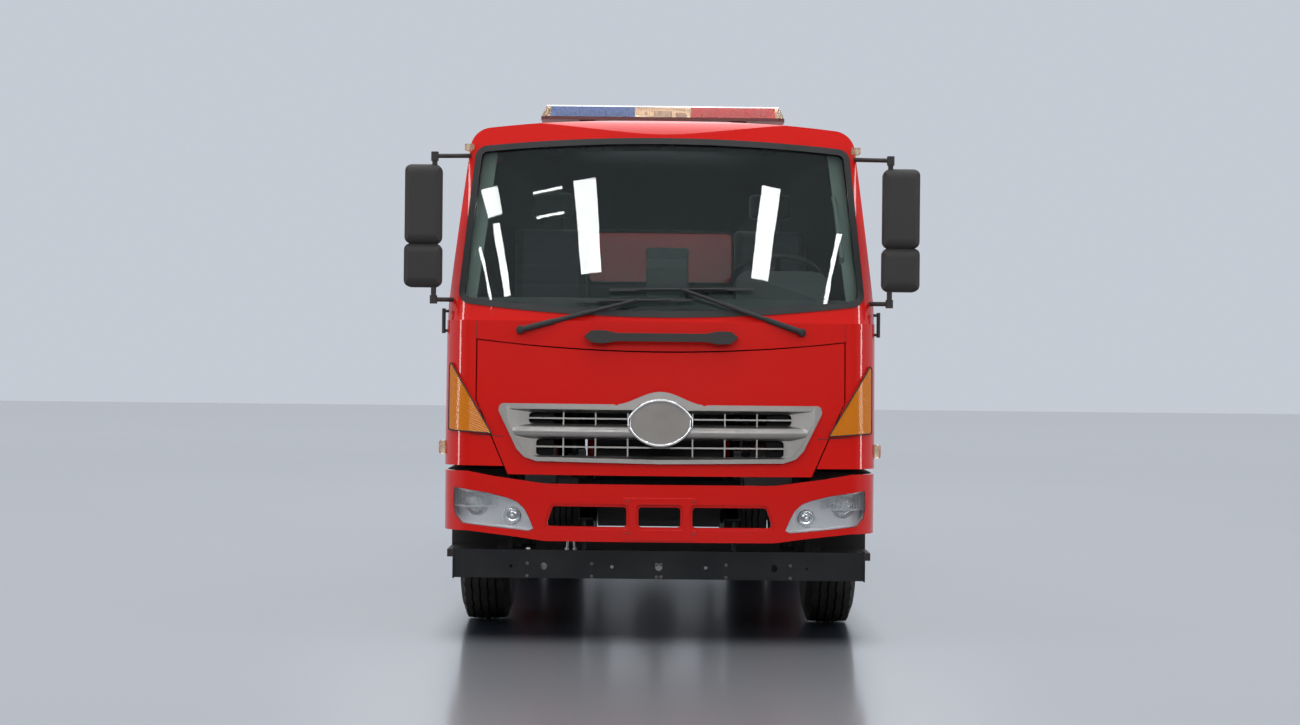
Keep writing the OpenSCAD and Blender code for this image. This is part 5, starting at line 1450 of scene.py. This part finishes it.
def make_bar_fittings():
    """End plates of the underrun bar, the bright shackle that stands on it, and a small white clip."""
    plates, bright, clip = bmesh.new(), bmesh.new(), bmesh.new()
    for side in SIDES.values():
        side_block(plates, side, (1.0745, 1.082), (0.095, 0.185), (0.334, 0.492), 0.002)
    spots = [(SHACKLE_FEET[0], 0.480), (-0.481, 0.520)]
    spots += [(-0.463 - 0.018 * math.cos(math.pi * k / 10), 0.526 + 0.018 * math.sin(math.pi * k / 10))
              for k in range(11)]
    spots += [(-0.445, 0.520), (SHACKLE_FEET[1], 0.480)]
    swept(bright, [at(x, SHACKLE_S, z) for x, z in spots], 0.0065, sides=5)
    for x in SHACKLE_FEET:
        boss(bright, at(x, SHACKLE_S, 0.4872), (0, 0, 1), 0.012, 0.009, 6)
    soft_block(clip, (-0.697, 0.112, 0.4875), (-0.675, 0.140, 0.497), 0.003)
    piece("underrun_end_plates", plates, CHASSIS_BLACK, "chassis")
    piece("towing_shackle", bright, TANK_ALUMINIUM, "chassis")
    piece("cable_clip", clip, MODULE_LAMP, "chassis")


WIPERS = [
    # spindle x, blade's middle x and z, blade's half length
    (-0.740, -0.140, 1.800, 0.305),
    (0.740, 0.105, 1.862, 0.380),
]
WIPER_TILT = 0.006
SPINDLE_Z = 1.640


def make_wiper_fittings():
    """Spindle caps, sleeves on the arms, and the yokes that carry the blades."""
    shape = bmesh.new()
    for spindle_x, middle_x, middle_z, half in WIPERS:
        spindle = on_face(spindle_x, SPINDLE_Z, 0.026)
        middle = on_screen(middle_x, middle_z, 0.034)
        boss(shape, spindle + Vector((0, 0.020, 0)), (0, -1, 0), 0.023, 0.034, 28, top=0.018, edge=0.004)
        for start, stop, size in ((0.0, 0.30, 0.0155), (0.29, 0.64, 0.0125), (0.63, 0.97, 0.0095)):
            swept(shape, [spindle.lerp(middle, start), spindle.lerp(middle, stop)], size, sides=4)
        for reach in (0.62, 0.30):
            spots = []
            for k in range(-6, 7):
                x = middle_x + reach * half * k / 6
                z = middle_z + WIPER_TILT * (x - middle_x) / half
                lift = 0.022 + 0.012 * (1 - (k / 6) ** 2) * reach
                spots.append(on_screen(x, z, lift))
            swept(shape, spots, 0.005)
    piece("wiper_fittings", shape, BLACK_RUBBER, "cab")


make_rubbers()
make_front_bolts()
make_bar_fittings()
make_wiper_fittings()


# Body trims
BODY_HALF = 1.16
BODY_S = (1.90, 7.46)
DECK_Z = 2.60
ARCH_R = 0.62
COAMING = 0.0455
SKIRT_Z = 0.60
MARKER_S = (3.15, 4.55, 7.10)
MARKER_Z = (0.622, 0.656)
REAR_MARKER_X = (0.92, 1.06)
REAR_MARKER_Z = 2.55
GUARD_S = (7.320, 7.420)
GUARD_Z = (0.390, 0.510)
FLAP_S = (6.235, 6.243)
STRAP_S = (2.13, 2.59)
FILLER = (1.079, 2.36, 0.915)
MONITOR_S = 3.35
FLANGE_BOLT_R = 0.132


def loose_boxes(shape):
    """The box of each loose part of a shape, in bumper stations."""
    left, found = set(shape.verts), []
    for first in shape.verts:
        if first not in left:
            continue
        left.discard(first)
        reached = [first]
        for vert in reached:
            for edge in vert.link_edges:
                other = edge.other_vert(vert)
                if other in left:
                    left.discard(other)
                    reached.append(other)
        spots = [vert.co - Vector((0, BUMPER_Y, 0)) for vert in reached]
        found.append([[pick(spot[k] for spot in spots) for k in range(3)] for pick in (min, max)])
    shape.free()
    return found


def make_shutter_trims():
    """A lift bar with its grip, and the two guide channels of each shutter."""
    bars, channels, grips = bmesh.new(), bmesh.new(), bmesh.new()
    for low, high in loose_boxes(merged("roller_shutters")):
        turn = Matrix.Translation(at(0, 0, 0))
        if high[0] - low[0] > 0.5:
            turn = turn @ Matrix.Rotation(math.radians(90), 4, "Z")
            ends, outer = (-high[0], -low[0]), high[1]
        else:
            ends, outer = (low[1], high[1]), max(high[0], -low[0])
            if low[0] < 0:
                turn = turn @ Matrix.Scale(-1, 4, (1, 0, 0))
        middle = (ends[0] + ends[1]) / 2
        bar = ((outer - 0.002, ends[0] + 0.034, low[2] + 0.030),
               (outer + 0.011, ends[1] - 0.034, low[2] + 0.078), 0.004)
        rails = [((outer + 0.0004, start, low[2] + 0.001),
                  (outer + 0.0125, start + 0.027, high[2] - 0.001), 0.003)
                 for start in (ends[0] + 0.001, ends[1] - 0.028)]
        grip = ((outer + 0.010, middle - 0.085, low[2] + 0.042),
                (outer + 0.026, middle + 0.085, low[2] + 0.066), 0.005)
        for shape, spots in ((bars, [bar]), (channels, rails), (grips, [grip])):
            for a, b, radius in spots:
                part = bmesh.new()
                soft_block(part, a, b, radius)
                for vert in part.verts:
                    vert.co.y -= BUMPER_Y
                add_turned(shape, part, turn)
                part.free()
    for shape, name, finish in ((bars, "shutter_lift_bars", TANK_ALUMINIUM),
                                (channels, "shutter_channels", TANK_ALUMINIUM),
                                (grips, "shutter_grips", CHARCOAL)):
        bmesh.ops.recalc_face_normals(shape, faces=shape.faces[:])
        piece(name, shape, finish, "chassis")


def make_body_trims():
    """Tread plate on the deck, rubber round the rear arches, markers, tank straps, guard bar and flaps."""
    deck, rubber, amber, red, straps, guard = (bmesh.new() for _ in range(6))
    inner = BODY_HALF - COAMING
    soft_block(deck, (-inner, BODY_S[0] + COAMING, DECK_Z + 0.0002),
               (inner, BODY_S[1] - COAMING, DECK_Z + 0.0026), 0.0005, 1)
    start = math.asin((SKIRT_Z - HUB_Z) / ARCH_R)
    for side in SIDES.values():
        path = []
        for k in range(61):
            turn = start + (math.pi - 2 * start) * k / 60
            path.append(Vector((side * BODY_HALF, REAR_AXLE_Y + ARCH_R * math.cos(turn),
                                HUB_Z + ARCH_R * math.sin(turn))))
        swept(rubber, path, 0.008)
        for s in MARKER_S:
            side_block(amber, side, (BODY_HALF - 0.001, BODY_HALF + 0.009), (s - 0.05, s + 0.05),
                       MARKER_Z, 0.004)
        for x in REAR_MARKER_X:
            boss(red, at(side * x, BODY_S[1] - 0.001, REAR_MARKER_Z), (0, 1, 0), 0.034, 0.014, 32,
                 top=0.028, edge=0.003)
        side_block(guard, side, (0.43, 0.50), (7.330, 7.400), (0.500, 0.820), 0.004)
        side_block(rubber, side, (0.705, 1.135), FLAP_S, (0.240, 0.6005), 0.002)
    soft_block(guard, (-1.08, GUARD_S[0], GUARD_Z[0]), (1.08, GUARD_S[1], GUARD_Z[1]), 0.010)
    for s in STRAP_S:
        for x, foot, top in ((0.60, 0.989, 0.993), (1.0795, 0.587, 0.993), (0.60, 0.587, 0.591)):
            soft_block(straps, (x, s - 0.022, foot), (1.084, s + 0.022, top), 0.0008, 1)
    boss(straps, at(*FILLER), (1, 0, 0), 0.045, 0.030, 40, top=0.040, edge=0.004)
    for k in range(8):
        turn = math.tau * (k + 0.5) / 8
        x, s = FLANGE_BOLT_R * math.cos(turn), FLANGE_BOLT_R * math.sin(turn)
        bolt(straps, at(x, MONITOR_S + s, DECK_Z + 0.016), (0, 0, 1), 0.008)
    piece("deck_tread_plate", deck, TREAD_PLATE, "chassis")
    piece("arch_lips_and_flaps", rubber, BLACK_RUBBER, "chassis")
    piece("side_markers", amber, AMBER_LENS, "chassis")
    piece("rear_markers", red, RED_LENS, "chassis")
    piece("rear_guard_bar", guard, CHASSIS_BLACK, "chassis")
    piece("tank_straps_and_bolts", straps, BOLT_STEEL, "chassis")


make_shutter_trims()
make_body_trims()


# Studio
HALL = rgb(0.56, 0.60, 0.66)


def studio_floor():
    """A glossy floor, with the truck's shadow painted on it."""
    floor_shape = bmesh.new()
    bmesh.ops.create_grid(floor_shape, x_segments=1, y_segments=1, size=60)
    mesh = bpy.data.meshes.new("studio_floor")
    floor_shape.to_mesh(mesh)
    floor_shape.free()
    floor = bpy.data.objects.new("studio_floor", mesh)
    floor.location.z = -0.001
    bpy.context.scene.collection.objects.link(floor)
    made, tree, sockets = material("studio_floor_paint", Roughness=0.3, Coat_Roughness=0.13)
    cloud = add(tree, "TexNoise", None, Vector=place(tree), Scale=0.35, Detail=3.0)
    plain = mix_colour(tree, cloud.outputs["Fac"], rgb(0.255, 0.270, 0.293), rgb(0.30, 0.314, 0.337))
    spot = add(tree, "SeparateXYZ", None, Vector=place(tree))
    # Painted shadow: under the truck the floor is painted dark, and its coat and gloss are turned down.
    under = remap(tree, math_node(tree, "ABSOLUTE", spot.outputs["X"]), 1.25, 1.0)
    ahead = remap(tree, spot.outputs["Y"], BUMPER_Y - 0.1, BUMPER_Y + 0.5)
    behind = remap(tree, spot.outputs["Y"], BUMPER_Y + 7.7, BUMPER_Y + 7.2)
    shade = math_node(tree, "MULTIPLY", under, math_node(tree, "MULTIPLY", ahead, behind))
    put(tree, sockets["Base Color"], mix_colour(tree, shade, plain, rgb(0.02, 0.024, 0.034)))
    put(tree, sockets["Coat Weight"], remap(tree, shade, 0.0, 1.0, 0.9, 0.15))
    put(tree, sockets["Specular IOR Level"], remap(tree, shade, 0.0, 1.0, 0.5, 0.1))
    mesh.materials.append(made)


def studio_hall():
    """The hall's light on the truck, its mirror image, and the colour that the camera sees."""
    world = bpy.data.worlds.new("studio")
    bpy.context.scene.world = world
    world.use_nodes = True
    tree = world.node_tree
    light = tree.nodes["Background"]
    light.inputs["Strength"].default_value = 1.0
    shown = add(tree, "Background", None, Color=HALL, Strength=1.0)
    way = add(tree, "SeparateXYZ", None, Vector=tree.nodes.new("ShaderNodeTexCoord").outputs["Generated"])
    ahead = remap(tree, way.outputs["Y"], -0.75, 0.1)
    above = remap(tree, way.outputs["Z"], -0.05, 0.85)
    put(tree, light.inputs["Color"], mix_colour(tree, above, rgb(0.08, 0.085, 0.095), rgb(0.68, 0.70, 0.73)))
    mirrored_hall = add(tree, "Background", None, Strength=1.0,
                        Color=mix_colour(tree, ahead, rgb(0.055, 0.058, 0.062), HALL))
    path = tree.nodes.new("ShaderNodeLightPath")
    seen = math_node(tree, "MAXIMUM", path.outputs["Is Camera Ray"], path.outputs["Is Transmission Ray"])
    first = blended(tree, path.outputs["Is Glossy Ray"], light.outputs[0], mirrored_hall.outputs[0])
    tree.links.new(blended(tree, seen, first, shown.outputs[0]), tree.nodes["World Output"].inputs["Surface"])


def blended(tree, factor, low, high):
    """Mixes two shaders."""
    both = tree.nodes.new("ShaderNodeMixShader")
    put(tree, both.inputs[0], factor)
    put(tree, both.inputs[1], low)
    put(tree, both.inputs[2], high)
    return both.outputs[0]


def soft_box(name, size, place_at, aim, power):
    """A rectangular soft light aimed at a point."""
    lamp = bpy.data.lights.new(name, "AREA")
    lamp.shape = "RECTANGLE"
    lamp.size, lamp.size_y = size
    lamp.energy = power
    made = bpy.data.objects.new(name, lamp)
    made.location = place_at
    made.rotation_euler = (Vector(aim) - Vector(place_at)).to_track_quat("-Z", "Y").to_euler()
    bpy.context.scene.collection.objects.link(made)
    return made


ROOF_LIGHTS = [
    # name, x, y, width, length, power
    ("roof_light_1", -1.40, -8.5, 0.42, 1.15, 29),
    ("roof_light_2", 2.05, -8.5, 0.36, 1.15, 26),
    ("roof_light_3", -3.21, -8.69, 0.15, 0.95, 9),
    ("roof_light_4", 3.52, -8.72, 0.09, 0.95, 6),
    ("roof_light_5", -3.60, -8.85, 0.05, 0.80, 3),
    ("roof_light_6", -3.20, -7.95, 0.30, 0.35, 6),
    ("roof_tube_1", -2.11, -7.98, 0.56, 0.03, 1.2),
    ("roof_tube_2", -2.12, -8.28, 0.56, 0.03, 1.2),
]


def lights():
    """Soft panels round the truck, a light behind the cab, and the roof lights that the windscreen mirrors."""
    middle = (0, -1.0, 1.4)
    soft_box("ceiling_panel", (9, 12), (0, 0, 8.5), (0, 0, 0), 620)
    soft_box("front_fill", (12, 3), (0, -15, 5.5), middle, 420)
    soft_box("left_strip", (1.0, 7), (9, -7, 4.5), middle, 200)
    soft_box("right_strip", (1.0, 7), (-9, -7, 4.5), middle, 200)
    soft_box("rear_fill", (8, 4), (0, 12, 7.5), (0, 6, 3), 220)
    gap = soft_box("gap_light", (1.0, 0.4), (0, BUMPER_Y + 1.80, 2.75), (0, BUMPER_Y + 1.93, 2.1), 7)
    gap.visible_camera = gap.visible_glossy = gap.visible_transmission = False
    # Roof lights of the hall ahead, which the windscreen mirrors
    for name, x, y, width, length, power in ROOF_LIGHTS:
        soft_box(name, (width, length), (x, y, 7.0), (x, y, 0), power)


# Camera, as far from the bumper as the photograph was taken
CAMERA_AWAY = 12.0
CAMERA_X = -0.057
CAMERA_Z = 1.475
CAMERA_ROLL = math.radians(-0.6)
LENS = 63.9


def camera():
    """The photograph's camera: level, straight on, slightly rolled."""
    lens = bpy.data.cameras.new("front_camera")
    lens.lens = LENS
    lens.sensor_width = 36.0
    lens.clip_end = 300
    made = bpy.data.objects.new("front_camera", lens)
    made.location = (CAMERA_X, BUMPER_Y - CAMERA_AWAY, CAMERA_Z)
    made.rotation_euler = (math.pi / 2, CAMERA_ROLL, 0)
    bpy.context.scene.collection.objects.link(made)
    bpy.context.scene.camera = made


studio_floor()
studio_hall()
lights()
camera()
bpy.context.scene.view_settings.view_transform = "Standard"
